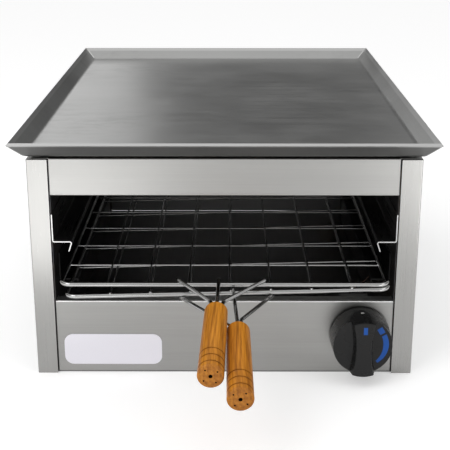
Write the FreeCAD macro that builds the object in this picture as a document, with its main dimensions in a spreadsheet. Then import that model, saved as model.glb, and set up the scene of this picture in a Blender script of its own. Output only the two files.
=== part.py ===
import FreeCAD, Part
import math
import os
import Sketcher
from FreeCAD import Placement, Rotation, Vector

# Gas sandwich toaster, in millimetres.
# The origin is the middle of the underside of the base pan. +Z is up and the front faces -Y.

# Driving sizes, each a cell of the sheet.
# Depths named "back" are measured backwards from the front face of the cabinet's posts.
SIZES = {
    # Cabinet
    "cabinet_width": 420,
    "cabinet_depth": 600,
    "cabinet_height": 248,
    "side_sheet": 1.2,
    "side_bend": 1.6,
    "panel_sheet": 0.8,
    "base_sheet": 1.0,
    "rear_sheet": 1.0,
    "liner_sheet": 0.8,
    "post_width": 22.3,
    "side_flange": 20,
    "flange_setback": 3.5,
    "base_gap": 1.4,
    # Front panels
    "panel_gap": 1.4,
    "panel_recess": 3.0,
    "panel_lap": 0.8,
    "panel_bend": 1.2,
    "upper_panel_bottom": 207.8,
    "lower_panel_top": 86.4,
    "panel_return": 14,
    "panel_tab": 16,
    "lug_reach": 5,
    "lug_depth": 24,
    "lug_screw_back": 16,
    # Liners and rails
    "liner_inset": 23.4,
    "liner_front_back": 4.5,
    "liner_rear_back": 545,
    "liner_flange": 10,
    "rail_sheet": 1.2,
    "rail_ledge": 22.2,
    "rail_upstand": 30.3,
    "rail_lip_drop": 11.5,
    "rail_lip_flare": 4.0,
    "rail_bend": 1.2,
    "rail_rear_back": 500,
    "upper_rail_height": 156.5,
    "upper_rail_front_back": 1.5,
    "lower_rail_height": 99.3,
    "lower_rail_front_back": 38,
    # Griddle
    "griddle_plate": 3.2,
    "griddle_rise": 15.8,
    "griddle_overhang": 16.6,
    "griddle_bend": 6.0,
    "griddle_tip": 1.2,
    "rest_height": 3.5,
    "rest_width": 17,
    "rest_inset": 2,
    "rest_end_back": 30,
    "pin_radius": 3,
    "pin_clearance": 0.3,
    "pin_back": 60,
    # Badge
    "badge_width": 109,
    "badge_height": 36.5,
    "badge_thickness": 1.0,
    "badge_corner": 10,
    "badge_side": -124.6,
    "badge_middle_height": 28.3,
    # Grill grids
    "grill_bar_radius": 2.4,
    "grill_wire_radius": 1.1,
    "grill_corner": 10,
    "grill_length": 450,
    "grill_front_overhang": 22.5,
    "grill_seat_gap": 0.3,
    "grill_closed_gap": 0.4,
    "upper_grid_half_width": 175.5,
    "upper_long_pitch": 43.8,
    "upper_long_shift": 5.5,
    "upper_cross_first": 62,
    "cross_pitch": 64.8,
    "upper_cross_drop": 1.2,
    "upper_long_rise": 0.8,
    "lower_grid_half_width": 173.5,
    "lower_grid_shift": 3.0,
    "lower_grid_roll": 1.453,
    "lower_long_pitch": 43.3,
    "lower_long_shift": 7.1,
    "lower_cross_first": 88,
    "lower_cross_drop": 0.4,
    "lower_long_rise": 1.6,
    "wire_overrun": 1.2,
    "clip_spacing": 216,
    "clip_width": 10,
    "clip_sheet": 1.2,
    "clip_clearance": 0.06,
    "clip_leg": 17,
    # Handle rods and wooden handles
    "rod_radius": 2.0,
    "rod_bend": 8,
    "rod_overrun": 1.5,
    "rod_tip": 4,
    "rod_tip_radius": 0.7,
    "rod_insertion": 16,
    "rod_hole_clearance": 0.05,
    "rod_weld_gap": 0.1,
    "handle_length": 125,
    "handle_rear_radius": 11.9,
    "handle_front_radius": 12.7,
    "handle_rear_round": 5,
    "handle_front_round": 1.4,
    "groove_first": 31.6,
    "groove_pitch": 11.5,
    "groove_width": 1.3,
    "groove_depth": 0.6,
    "end_hole_radius": 2.0,
    "end_hole_depth": 9,
    "small_hole_radius": 0.9,
    "small_hole_depth": 5,
    "small_hole_reach": 8.1,
    "upper_rod_left": -48,
    "upper_rod_middle": -6,
    "upper_rod_right": 42,
    "upper_rod_spread": 6,
    "upper_rod_straight": 17,
    "upper_hole_turn": -7.4,
    "upper_handle_side": -8.0,
    "upper_handle_sway": -4.0,
    "upper_handle_reach": 57.8,
    "upper_handle_drop": 5.0,
    "upper_handle_slope": 5.8,
    "lower_rod_left": -46,
    "lower_rod_middle": 9.2,
    "lower_rod_right": 51,
    "lower_rod_spread": 3.5,
    "lower_rod_entry": 2.4,
    "lower_left_straight": 6,
    "lower_middle_straight": 6,
    "lower_right_straight": 24,
    "lower_hole_turn": 6.4,
    "lower_handle_side": 14.1,
    "lower_handle_sway": 1.2,
    "lower_handle_reach": 78.8,
    "lower_handle_drop": 8.0,
    "lower_handle_slope": 5.8,
    # Burner
    "burner_height": 226,
    "burner_back": 52,
    "burner_wall": 1.2,
    "header_radius": 13,
    "header_right": 88,
    "header_left": -90,
    "tube_radius": 11,
    "tube_pitch": 75,
    "tube_rear_back": 540,
    "tube_fit": 0.05,
    "port_width": 2,
    "port_length": 12,
    "port_pitch": 15,
    "port_count": 26,
    "port_first_back": 120,
    "cap_thickness": 2,
    "mixer_throat_radius": 8,
    "mixer_mouth": 62,
    "mixer_bell_length": 24,
    "mixer_cone_length": 14,
    "mixer_throat_length": 8,
    "mixer_hole_radius": 3.8,
    "window_length": 11,
    "window_height": 12,
    "shutter_wall": 1.2,
    "shutter_clearance": 0.05,
    "shutter_length": 20,
    "shutter_gap": 1.5,
    "support_sheet": 1.2,
    "support_bottom": 211,
    "support_top": 243,
    "support_tab": 14,
    "support_front_back": 110,
    "support_rear_back": 500,
    "radiant_sheet": 1.0,
    "radiant_half_width": 150,
    "radiant_front_back": 98,
    "radiant_rear_back": 520,
    "radiant_slot_width": 22,
    "radiant_slot_length": 10,
    "radiant_pitch_side": 30,
    "radiant_pitch_back": 24,
    # Gas route
    "supply_radius": 5,
    "burner_pipe_radius": 4,
    "pipe_wall": 1.0,
    "pipe_bend": 12,
    "gap_pipe_inset": 12,
    "inlet_side": 170,
    "inlet_radius": 10.48,
    "inlet_bore": 5.5,
    "inlet_outside": 18,
    "inlet_inside": 12,
    "inlet_neck": 1.0,
    "inlet_neck_depth": 0.9,
    "inlet_jog_back": 20,
    "locknut_flats": 27,
    "locknut_height": 5,
    "pipe_hole_margin": 2.5,
    "nut_flats_large": 19,
    "nut_flats_small": 17,
    "nut_length": 11,
    "nut_clearance": 0.05,
    # Valve and knob
    "knob_side": 150.5,
    "knob_height": 47.1,
    "knob_rear_radius": 33.5,
    "knob_front_radius": 31.7,
    "knob_depth": 39.6,
    "knob_grip_depth": 11.1,
    "knob_stand_off": 4.5,
    "knob_waist": 8.0,
    "knob_grip_end": 12.0,
    "knob_grip_draft": 12.7,
    "knob_wall": 2.6,
    "knob_hub_radius": 8,
    "knob_hollow_depth": 22,
    "knob_bore_depth": 19,
    "knob_edge": 1.0,
    "spindle_radius": 4.0,
    "spindle_flat": 2.6,
    "spindle_fit": 0.05,
    "spindle_collar_radius": 6.5,
    "spindle_collar": 2,
    "spindle_tail": 20,
    "nose_radius": 6,
    "nose_hole_margin": 0.5,
    "nose_recess": 0.2,
    "bonnet_thickness": 3,
    "bonnet_width": 40,
    "valve_width": 32,
    "valve_below": 14,
    "valve_above": 21,
    "valve_rear_back": 70,
    "plug_radius": 10,
    "plug_front_back": 22,
    "plug_rear_back": 46,
    "plug_fit": 0.05,
    "plug_port_radius": 3,
    "spring_radius": 5.4,
    "spring_wire": 0.6,
    "spring_turns": 3,
    "spring_end_gap": 0.3,
    "magnet_radius": 7,
    "magnet_fit": 0.05,
    "magnet_seat_back": 58,
    "magnet_rear_back": 92,
    "magnet_hex_flats": 17,
    "magnet_hex_length": 8,
    "boss_radius": 7,
    "boss_length": 4,
    "supply_port_back": 34,
    "outlet_rise": 12.9,
    "valve_screw_spacing": 28,
    "valve_screw_radius": 1.6,
    # Injector
    "injector_flange_radius": 8,
    "injector_flange": 4,
    "injector_neck_radius": 6,
    "injector_neck": 8,
    "injector_nose_radius": 3.4,
    "injector_nose": 15,
    "injector_jet_radius": 0.6,
    "injector_bore_radius": 2.5,
    "injector_side": 172,
    "bracket_sheet": 1.5,
    "bracket_depth": 24,
    "bracket_below": 12,
    "bracket_above": 11.5,
    "bracket_foot": 8,
    # Flame sensor
    "sensor_radius": 3,
    "sensor_length": 45,
    "sensor_ahead": 12,
    "sensor_side": 112,
    "sensor_rise": 6,
    "lead_radius": 1.0,
    "lead_bend": 7,
    # Screws and vents
    "screw_radius": 2.0,
    "screw_fit": 0.05,
    "screw_head_radius": 3.8,
    "screw_head": 1.8,
    "screw_length": 7,
    "rear_screw_first": 24,
    "rear_screw_count": 4,
    "vent_width": 6,
    "vent_height": 24,
    "vent_pitch": 24,
    "vent_count": 13,
    "vent_bottom": 206,
}

document = FreeCAD.newDocument("GasSandwichToaster")
sheet = document.addObject("Spreadsheet::Sheet", "Sizes")
for row, (alias, number) in enumerate(SIZES.items(), start=1):
    sheet.set(f"A{row}", alias)
    sheet.set(f"B{row}", str(number))
    sheet.setAlias(f"B{row}", alias)
document.recompute()


class Size:
    """A size as an expression of the sheet's cells, with the number it comes to."""

    def __init__(self, text, value):
        self.text = text
        self.value = value

    def __add__(self, other):
        other = as_size(other)
        return Size(f"({self.text} + {other.text})", self.value + other.value)

    def __sub__(self, other):
        other = as_size(other)
        return Size(f"({self.text} - {other.text})", self.value - other.value)

    def __mul__(self, other):
        other = as_size(other)
        return Size(f"({self.text} * {other.text})", self.value * other.value)

    def __truediv__(self, other):
        other = as_size(other)
        return Size(f"({self.text} / {other.text})", self.value / other.value)

    def __radd__(self, other):
        return as_size(other) + self

    def __rsub__(self, other):
        return as_size(other) - self

    def __rmul__(self, other):
        return as_size(other) * self

    def __neg__(self):
        return Size(f"(0 - {self.text})", -self.value)

    def __float__(self):
        return float(self.value)

    def sine(self):
        """Sine of an angle in degrees."""
        return Size(f"sin({self.text} * 1 deg)", math.sin(math.radians(self.value)))

    def cosine(self):
        """Cosine of an angle in degrees."""
        return Size(f"cos({self.text} * 1 deg)", math.cos(math.radians(self.value)))


def as_size(item):
    if isinstance(item, Size):
        return item
    return Size(f"{float(item):.6f}", float(item))


def cell(alias):
    """The sheet's cell of this name."""
    return Size(f"Sizes.{alias}", float(sheet.get(alias)))


class Cells:
    """Reads a cell of the sheet by its alias, as in s.cabinet_width."""

    def __getattr__(self, alias):
        return cell(alias)


s = Cells()

# Places that many pieces share, all worked out from the cells
half_width = s.cabinet_width / 2
front = -s.cabinet_depth / 2
rear = s.cabinet_depth / 2
side_inner = half_width - s.side_sheet
post_inner = half_width - s.post_width
flange_inner = half_width - s.side_flange
flange_middle = (flange_inner + side_inner) / 2
rear_inner = rear - s.rear_sheet
panel_front = front + s.panel_recess
panel_back = panel_front + s.panel_sheet
panel_end = post_inner - s.panel_gap
panel_top = s.cabinet_height + s.panel_lap
base_top = s.base_sheet
liner_inner = half_width - s.liner_inset
liner_outer = liner_inner + s.liner_sheet
liner_bottom = base_top + s.side_sheet
liner_top = s.cabinet_height - s.side_sheet
gap_pipe_side = half_width - s.gap_pipe_inset
griddle_bottom = s.cabinet_height + s.rest_height
griddle_floor = griddle_bottom + s.griddle_plate
grill_front = front - s.grill_front_overhang
grill_rear = grill_front + s.grill_length
lower_grid_tilt = s.lower_grid_half_width * s.lower_grid_roll.sine()
lower_grid_height = s.lower_rail_height + s.grill_seat_gap + s.grill_bar_radius + lower_grid_tilt
upper_grid_height = lower_grid_height + lower_grid_tilt + s.grill_bar_radius * 2 + s.grill_closed_gap
burner_y = front + s.burner_back
mixer_mouth_x = s.header_right + s.mixer_mouth
supply_port_y = front + s.supply_port_back
outlet_height = s.knob_height + s.outlet_rise
valve_right = s.knob_side + s.valve_width / 2
boss_end = valve_right + s.boss_length
bonnet_back = panel_back + s.bonnet_thickness
knob_rear = panel_front - s.knob_stand_off
sensor_height = s.burner_height + s.sensor_rise
lead_gap_side = liner_outer + s.lead_radius + s.pipe_hole_margin
lead_upper_y = front + s.support_front_back - s.sensor_ahead * 2
lead_lower_y = front + s.magnet_rear_back + s.sensor_length


def bind(thing, name, size):
    """Bind a property to the sheet, or set it where it is a plain number."""
    thing.setExpression(name, as_size(size).text)


def new_body(label):
    body = document.addObject("PartDesign::Body", label)
    body.Label = label
    return body


def sketch_on(body, role, offset=0):
    """A sketch on an origin plane of the body, moved along the plane's normal."""
    sketch = body.newObject("Sketcher::SketchObject", f"{body.Name}_outline")
    plane = [feature for feature in body.Origin.OriginFeatures if feature.Role == role][0]
    sketch.AttachmentSupport = [(plane, "")]
    sketch.MapMode = "FlatFace"
    bind(sketch, "AttachmentOffset.Base.z", offset)
    return sketch


def fix_point(sketch, geometry, position, point):
    """Hold a point of the sketch at its distances from the origin."""
    for kind, size in (("DistanceX", as_size(point[0])), ("DistanceY", as_size(point[1]))):
        constraint = Sketcher.Constraint(kind, -1, 1, geometry, position, size.value)
        index = sketch.addConstraint(constraint)
        sketch.setExpression(f"Constraints[{index}]", size.text)


def fix_radius(sketch, geometry, size):
    index = sketch.addConstraint(Sketcher.Constraint("Radius", geometry, as_size(size).value))
    sketch.setExpression(f"Constraints[{index}]", as_size(size).text)


def draw_polygon(sketch, points):
    """A closed outline of straight lines."""
    spots = [Vector(float(u), float(v), 0) for u, v in points]
    first = len(sketch.Geometry)
    count = len(points)
    for index, spot in enumerate(spots):
        sketch.addGeometry(Part.LineSegment(spot, spots[(index + 1) % count]), False)
    for index in range(count):
        follower = first + (index + 1) % count
        sketch.addConstraint(Sketcher.Constraint("Coincident", first + index, 2, follower, 1))
    for index, point in enumerate(points):
        fix_point(sketch, first + index, 1, point)


def draw_rectangle(sketch, u, v):
    draw_polygon(sketch, [(u[0], v[0]), (u[1], v[0]), (u[1], v[1]), (u[0], v[1])])


def draw_circle(sketch, centre, radius):
    spot = Vector(float(centre[0]), float(centre[1]), 0)
    circle = Part.Circle(spot, Vector(0, 0, 1), float(radius))
    geometry = sketch.addGeometry(circle, False)
    fix_point(sketch, geometry, 3, centre)
    fix_radius(sketch, geometry, radius)


def draw_loop(sketch, half, low, high, radius):
    """A rectangle with rounded corners, from -half to half and from low to high."""
    corners = [(half, low), (half, high), (-half, high), (-half, low)]
    steps = [(0, 1), (-1, 0), (0, -1), (1, 0)]
    for index, step in enumerate(steps):
        start = [corners[index][axis] + radius * step[axis] for axis in (0, 1)]
        end = [corners[(index + 1) % 4][axis] - radius * step[axis] for axis in (0, 1)]
        line = Part.LineSegment(Vector(float(start[0]), float(start[1]), 0), Vector(float(end[0]), float(end[1]), 0))
        sketch.addGeometry(line, False)
        fix_point(sketch, index, 1, start)
        fix_point(sketch, index, 2, end)
    for index, step in enumerate(steps):
        turn = steps[(index + 1) % 4]
        start = sketch.Geometry[index].EndPoint
        end = sketch.Geometry[(index + 1) % 4].StartPoint
        centre = start + Vector(turn[0], turn[1], 0) * float(radius)
        middle = centre + Vector(step[0] - turn[0], step[1] - turn[1], 0).normalize() * float(radius)
        arc = sketch.addGeometry(Part.Arc(start, middle, end), False)
        sketch.addConstraint(Sketcher.Constraint("Coincident", index, 2, arc, 1))
        sketch.addConstraint(Sketcher.Constraint("Coincident", arc, 2, (index + 1) % 4, 1))
        fix_radius(sketch, arc, radius)


def feature(body, kind, sketch, length):
    result = body.newObject(f"PartDesign::{kind}", f"{body.Name}_{kind.lower()}")
    result.Profile = sketch
    bind(result, "Length", length)
    return result


def pad_x(body, x, draw):
    """Pad from x[0] to x[1] what draw puts on a sketch of Y and Z."""
    sketch = sketch_on(body, "YZ_Plane", x[0])
    draw(sketch)
    return feature(body, "Pad", sketch, x[1] - x[0])


def pad_y(body, y, draw):
    """Pad from y[0] to y[1] what draw puts on a sketch of X and Z."""
    sketch = sketch_on(body, "XZ_Plane", -as_size(y[1]))
    draw(sketch)
    return feature(body, "Pad", sketch, y[1] - y[0])


def pad_z(body, z, draw):
    """Pad from z[0] to z[1] what draw puts on a sketch of X and Y."""
    sketch = sketch_on(body, "XY_Plane", z[0])
    draw(sketch)
    return feature(body, "Pad", sketch, z[1] - z[0])


def pocket_x(body, x, draw):
    sketch = sketch_on(body, "YZ_Plane", x[1])
    draw(sketch)
    return feature(body, "Pocket", sketch, x[1] - x[0])


def pocket_y(body, y, draw):
    sketch = sketch_on(body, "XZ_Plane", -as_size(y[0]))
    draw(sketch)
    return feature(body, "Pocket", sketch, y[1] - y[0])


def pocket_z(body, z, draw):
    sketch = sketch_on(body, "XY_Plane", z[1])
    draw(sketch)
    return feature(body, "Pocket", sketch, z[1] - z[0])


def block(body, x, y, z):
    """A rectangular pad."""
    return pad_z(body, z, lambda sketch: draw_rectangle(sketch, x, y))


def pattern(body, original, axis, pitch, count):
    """Repeat a feature along its sketch's horizontal or vertical axis."""
    result = body.newObject("PartDesign::LinearPattern", f"{body.Name}_row")
    result.Originals = [original]
    result.Direction = (original.Profile[0], [axis])
    bind(result, "Length", pitch * (count - 1))
    bind(result, "Occurrences", count)
    body.Tip = result
    return result


def round_edges(body, radius, wanted, kind="Fillet"):
    """Round or chamfer the edges of the body's tip for which wanted(edge) is true."""
    document.recompute()
    tip = body.Tip
    names = [f"Edge{n}" for n, edge in enumerate(tip.Shape.Edges, start=1) if wanted(edge)]
    result = body.newObject(f"PartDesign::{kind}", f"{body.Name}_{kind.lower()}")
    result.Base = (tip, names)
    bind(result, "Radius" if kind == "Fillet" else "Size", radius)
    return result


def runs_along(edge, axis):
    """True for a straight edge parallel to the axis (0, 1 or 2)."""
    if not isinstance(edge.Curve, Part.Line):
        return False
    return abs(edge.Curve.Direction[axis]) > 0.9999


def passes(edge, **place):
    """True for an edge whose middle lies at the given x, y and z."""
    middle = edge.valueAt((edge.FirstParameter + edge.LastParameter) / 2)
    return all(abs(getattr(middle, name) - float(size)) < 0.01 for name, size in place.items())


def revolve(body, role, points, axis, offset=0):
    """Turn a closed outline about the sketch's horizontal or vertical axis."""
    sketch = sketch_on(body, role, offset)
    draw_polygon(sketch, points)
    result = body.newObject("PartDesign::Revolution", f"{body.Name}_turn")
    result.Profile = sketch
    result.ReferenceAxis = (sketch, [axis])
    result.Angle = 360
    return result


def solids_of(label, shapes):
    """A sub-part whose shape is worked out directly, as one solid or a group of solids."""
    part = document.addObject("Part::Feature", label)
    part.Label = label
    part.Shape = shapes[0] if len(shapes) == 1 else Part.makeCompound(shapes)
    return part


def bent_path(points, bend):
    """Straight runs through the points, joined by tangent arcs."""
    spots = [Vector(*[float(value) for value in point]) for point in points]
    edges = []
    last = spots[0]
    for before, corner, after in zip(spots, spots[1:], spots[2:]):
        arriving = (corner - before).normalize()
        leaving = (after - corner).normalize()
        half_turn = arriving.getAngle(leaving) / 2
        cut = float(bend) * math.tan(half_turn)
        start = corner - arriving * cut
        end = corner + leaving * cut
        inward = (leaving - arriving).normalize()
        middle = corner + inward * (float(bend) / math.cos(half_turn) - float(bend))
        edges.append(Part.LineSegment(last, start).toShape())
        edges.append(Part.Arc(start, middle, end).toShape())
        last = end
    edges.append(Part.LineSegment(last, spots[-1]).toShape())
    return Part.Wire(edges)


def bent_round(points, bend, radius):
    """A round bar along the bent path."""
    path = bent_path(points, bend)
    start = path.Edges[0].valueAt(path.Edges[0].FirstParameter)
    heading = path.Edges[0].tangentAt(path.Edges[0].FirstParameter)
    section = Part.Wire(Part.Circle(start, heading, float(radius)).toShape())
    return path.makePipeShell([section], True, True)


def bent_tube(points, bend, radius, wall):
    """A round tube along the bent path."""
    return bent_round(points, bend, radius).cut(bent_round(points, bend, radius - wall))


def hexagon(sketch, centre, flats):
    """A regular hexagon, with its flats upright."""
    corners = []
    for step in range(6):
        angle = as_size(30 + 60 * step)
        reach = flats / 2 / as_size(30).cosine()
        corners.append((centre[0] + reach * angle.cosine(), centre[1] + reach * angle.sine()))
    draw_polygon(sketch, corners)


# Side panels: wall, front post and rear flange are one bent sheet, with top and bottom flanges

def side_panel(label, hand):
    body = new_body(label)
    wall_rear = rear_inner
    outline = [
        (post_inner * hand, front),
        (half_width * hand, front),
        (half_width * hand, wall_rear),
        (flange_inner * hand, wall_rear),
        (flange_inner * hand, wall_rear - s.side_sheet),
        (side_inner * hand, wall_rear - s.side_sheet),
        (side_inner * hand, front + s.side_sheet),
        (post_inner * hand, front + s.side_sheet),
    ]
    pad_z(body, (as_size(0), s.cabinet_height), lambda sketch: draw_polygon(sketch, outline))
    round_edges(body, s.side_bend, lambda edge: runs_along(edge, 2) and abs(
        edge.valueAt(edge.FirstParameter).x) > float(half_width) - 0.01)
    flange_x = sorted((flange_inner * hand, side_inner * hand), key=float)
    flange_y = (front + s.flange_setback, wall_rear - s.side_sheet)
    block(body, flange_x, flange_y, (s.cabinet_height - s.side_sheet, s.cabinet_height))
    block(body, flange_x, flange_y, (base_top, base_top + s.side_sheet))
    rear_holes(body, (wall_rear - s.side_sheet, wall_rear), hand)
    pocket_z(body, (s.cabinet_height - s.side_sheet, s.cabinet_height), lambda sketch: draw_circle(
        sketch, (flange_middle * hand, front + s.lug_screw_back), s.screw_radius + s.screw_fit))


def rear_screw_pitch():
    return (s.cabinet_height - s.rear_screw_first * 2) / (s.rear_screw_count - 1)


def rear_holes(body, y, hand):
    """The column of screw holes through a rear flange or the rear panel."""
    place = (flange_middle * hand, s.rear_screw_first)
    hole = pocket_y(body, y, lambda sketch: draw_circle(sketch, place, s.screw_radius + s.screw_fit))
    pattern(body, hole, "V_Axis", rear_screw_pitch(), s.rear_screw_count)


def rear_panel():
    body = new_body("rear_panel")
    span = (-half_width, half_width)
    pad_y(body, (rear_inner, rear), lambda sketch: draw_rectangle(sketch, span, (base_top, s.cabinet_height)))
    rear_holes(body, (rear_inner, rear), -1)
    rear_holes(body, (rear_inner, rear), 1)
    first = s.vent_pitch * (s.vent_count - 1) / -2
    slot_x = (first - s.vent_width / 2, first + s.vent_width / 2)
    slot_z = (s.vent_bottom, s.vent_bottom + s.vent_height)
    slot = pocket_y(body, (rear_inner, rear), lambda sketch: draw_rectangle(sketch, slot_x, slot_z))
    pattern(body, slot, "H_Axis", s.vent_pitch, s.vent_count)
    pocket_y(body, (rear_inner, rear), lambda sketch: draw_circle(
        sketch, (s.inlet_side, s.knob_height), s.inlet_radius + s.nut_clearance))


def base_pan():
    body = new_body("base_pan")
    reach = half_width - s.base_gap
    block(body, (-reach, reach), (front + s.flange_setback, rear_inner - s.side_sheet), (as_size(0), base_top))


# Front panels: flat sheets with their edges folded back

def panel_body(label, bottom, top):
    """The folded front sheet: face, top and bottom returns and end tabs."""
    body = new_body(label)
    outline = [
        (panel_front, bottom),
        (panel_front + s.panel_return, bottom),
        (panel_front + s.panel_return, bottom + s.panel_sheet),
        (panel_back, bottom + s.panel_sheet),
        (panel_back, top - s.panel_sheet),
        (panel_front + s.panel_return, top - s.panel_sheet),
        (panel_front + s.panel_return, top),
        (panel_front, top),
    ]
    pad_x(body, (-panel_end, panel_end), lambda sketch: draw_polygon(sketch, outline))
    for hand in (-1, 1):
        tab_x = sorted((panel_end * hand, (panel_end - s.panel_sheet) * hand), key=float)
        block(body, tab_x, (panel_back, panel_front + s.panel_tab), (bottom, top))
    round_edges(body, s.panel_bend, lambda edge: runs_along(edge, 0) and (
        passes(edge, y=panel_front, z=top) or passes(edge, y=panel_front, z=bottom)))
    return body


def upper_front_panel():
    body = panel_body("upper_front_panel", s.upper_panel_bottom, panel_top)
    lug_y = (front + s.flange_setback + s.panel_sheet, front + s.lug_depth)
    lug_reach = side_inner - s.lug_reach
    pad = block(body, (-lug_reach, lug_reach), lug_y, (s.cabinet_height, panel_top))
    for hand in (-1, 1):
        pocket_z(body, (s.cabinet_height, panel_top), lambda sketch: draw_circle(
            sketch, (flange_middle * hand, front + s.lug_screw_back), s.screw_radius + s.screw_fit))
    return pad


def lower_front_panel():
    body = panel_body("lower_front_panel", base_top, s.lower_panel_top)
    through = (panel_front, panel_back)
    pocket_y(body, through, lambda sketch: draw_circle(
        sketch, (s.knob_side, s.knob_height), s.nose_radius + s.nose_hole_margin))
    for hand in (-1, 1):
        place = (s.knob_side + s.valve_screw_spacing / 2 * hand, s.knob_height)
        pocket_y(body, through, lambda sketch: draw_circle(sketch, place, s.valve_screw_radius + s.screw_fit))


def badge_plate():
    body = new_body("badge_plate")
    span = (s.badge_side - s.badge_width / 2, s.badge_side + s.badge_width / 2)
    rise = (s.badge_middle_height - s.badge_height / 2, s.badge_middle_height + s.badge_height / 2)
    pad_y(body, (panel_front - s.badge_thickness, panel_front), lambda sketch: draw_rectangle(sketch, span, rise))
    round_edges(body, s.badge_corner, lambda edge: runs_along(edge, 1))


# Liners and rails

def liner(label, hand):
    body = new_body(label)
    reach = liner_outer + s.liner_flange
    outline = [
        (liner_inner * hand, liner_bottom),
        (reach * hand, liner_bottom),
        (reach * hand, liner_bottom + s.liner_sheet),
        (liner_outer * hand, liner_bottom + s.liner_sheet),
        (liner_outer * hand, liner_top - s.liner_sheet),
        (reach * hand, liner_top - s.liner_sheet),
        (reach * hand, liner_top),
        (liner_inner * hand, liner_top),
    ]
    length = (front + s.liner_front_back, front + s.liner_rear_back)
    pad_y(body, length, lambda sketch: draw_polygon(sketch, outline))
    wall = sorted((liner_inner * hand, liner_outer * hand), key=float)
    for y, z in support_screw_places():
        pocket_x(body, wall, lambda sketch: draw_circle(sketch, (y, z), s.screw_radius + s.screw_fit))
    if hand > 0:
        supply_hole = s.supply_radius + s.pipe_hole_margin
        burner_hole = s.burner_pipe_radius + s.pipe_hole_margin
        lead_hole = s.lead_radius + s.pipe_hole_margin
        holes = (
            ((supply_port_y, s.knob_height), supply_hole),
            ((burner_y, outlet_height), burner_hole),
            ((burner_y, s.burner_height), burner_hole),
            ((lead_upper_y, sensor_height), lead_hole),
            (lead_crossing(), lead_hole),
        )
        for place, radius in holes:
            pocket_x(body, wall, lambda sketch: draw_circle(sketch, place, radius))


def rail(label, hand, height, front_back):
    body = new_body(label)
    ledge_edge = liner_inner - s.rail_ledge
    lip_edge = ledge_edge + s.rail_lip_flare
    fold = ledge_edge + s.rail_sheet + s.rail_lip_flare * s.rail_sheet / s.rail_lip_drop
    top = height + s.rail_upstand
    outline = [
        (liner_inner * hand, top),
        ((liner_inner - s.rail_sheet) * hand, top),
        ((liner_inner - s.rail_sheet) * hand, height),
        (ledge_edge * hand, height),
        (lip_edge * hand, height - s.rail_lip_drop),
        ((lip_edge + s.rail_sheet) * hand, height - s.rail_lip_drop),
        (fold * hand, height - s.rail_sheet),
        (liner_inner * hand, height - s.rail_sheet),
    ]
    length = (front + front_back, front + s.rail_rear_back)
    pad_y(body, length, lambda sketch: draw_polygon(sketch, outline))
    wall_inner = liner_inner - s.rail_sheet
    round_edges(body, s.rail_bend, lambda edge: runs_along(edge, 1) and (
        passes(edge, x=wall_inner * hand, z=height) or passes(edge, x=fold * hand, z=height - s.rail_sheet)))
    round_edges(body, s.rail_bend + s.rail_sheet, lambda edge: runs_along(edge, 1) and (
        passes(edge, x=ledge_edge * hand, z=height)
        or passes(edge, x=liner_inner * hand, z=height - s.rail_sheet)))


# Griddle: flat plate with 45 degree flanges, mitred at the corners, and its rests

def griddle_plate():
    body = new_body("griddle_plate")
    slope = s.griddle_rise
    bottom_x = half_width + s.griddle_overhang - slope
    bottom_y = s.cabinet_depth / 2 + s.griddle_overhang - slope
    rim = griddle_bottom + slope
    edge = s.griddle_plate * as_size(45).cosine()
    outer = pad_z(body, (griddle_bottom, rim), lambda sketch: draw_rectangle(
        sketch, (-bottom_x, bottom_x), (-bottom_y, bottom_y)))
    outer.TaperAngle = 45
    rim_x = bottom_x + slope
    rim_y = bottom_y + slope
    cut_edge = pad_z(body, (rim, rim + edge), lambda sketch: draw_rectangle(
        sketch, (-rim_x, rim_x), (-rim_y, rim_y)))
    cut_edge.TaperAngle = -45
    depth = rim + edge - griddle_floor
    mouth_x = rim_x - edge
    mouth_y = rim_y - edge
    hollow = pocket_z(body, (griddle_floor, rim + edge), lambda sketch: draw_rectangle(
        sketch, (-mouth_x, mouth_x), (-mouth_y, mouth_y)))
    hollow.TaperAngle = -45
    inner_x = mouth_x - depth
    inner_y = mouth_y - depth
    round_edges(body, s.griddle_bend, lambda edge: (
        passes(edge, z=griddle_floor, x=inner_x) or passes(edge, z=griddle_floor, x=-inner_x)
        or passes(edge, z=griddle_floor, y=inner_y) or passes(edge, z=griddle_floor, y=-inner_y)))
    round_edges(body, s.griddle_bend + s.griddle_plate, lambda edge: (
        passes(edge, z=griddle_bottom, x=bottom_x) or passes(edge, z=griddle_bottom, x=-bottom_x)
        or passes(edge, z=griddle_bottom, y=bottom_y) or passes(edge, z=griddle_bottom, y=-bottom_y)))


def pin_places():
    """Where the four locating pins sit, under the griddle and over the rests."""
    reach = s.cabinet_depth / 2 - s.pin_back
    return [(flange_middle * side, reach * end) for side in (-1, 1) for end in (-1, 1)]


def griddle_rest(label, hand):
    body = new_body(label)
    x = sorted(((side_inner - s.rest_inset) * hand, (side_inner - s.rest_inset - s.rest_width) * hand), key=float)
    y = (front + s.rest_end_back, rear - s.rest_end_back)
    block(body, x, y, (s.cabinet_height, griddle_bottom))
    for pin_x, pin_y in pin_places():
        if float(pin_x) * hand > 0:
            pocket_z(body, (s.cabinet_height, griddle_bottom), lambda sketch: draw_circle(
                sketch, (pin_x, pin_y), s.pin_radius + s.pin_clearance))


def griddle_pins():
    pins = []
    for x, y in pin_places():
        foot = Vector(float(x), float(y), float(s.cabinet_height + s.pin_clearance))
        pins.append(Part.makeCylinder(float(s.pin_radius), float(s.rest_height - s.pin_clearance), foot))
    solids_of("griddle_locating_pins", pins)


# Grill: two wire grids, their handle rods and wooden handles, and the hinge clips

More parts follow.
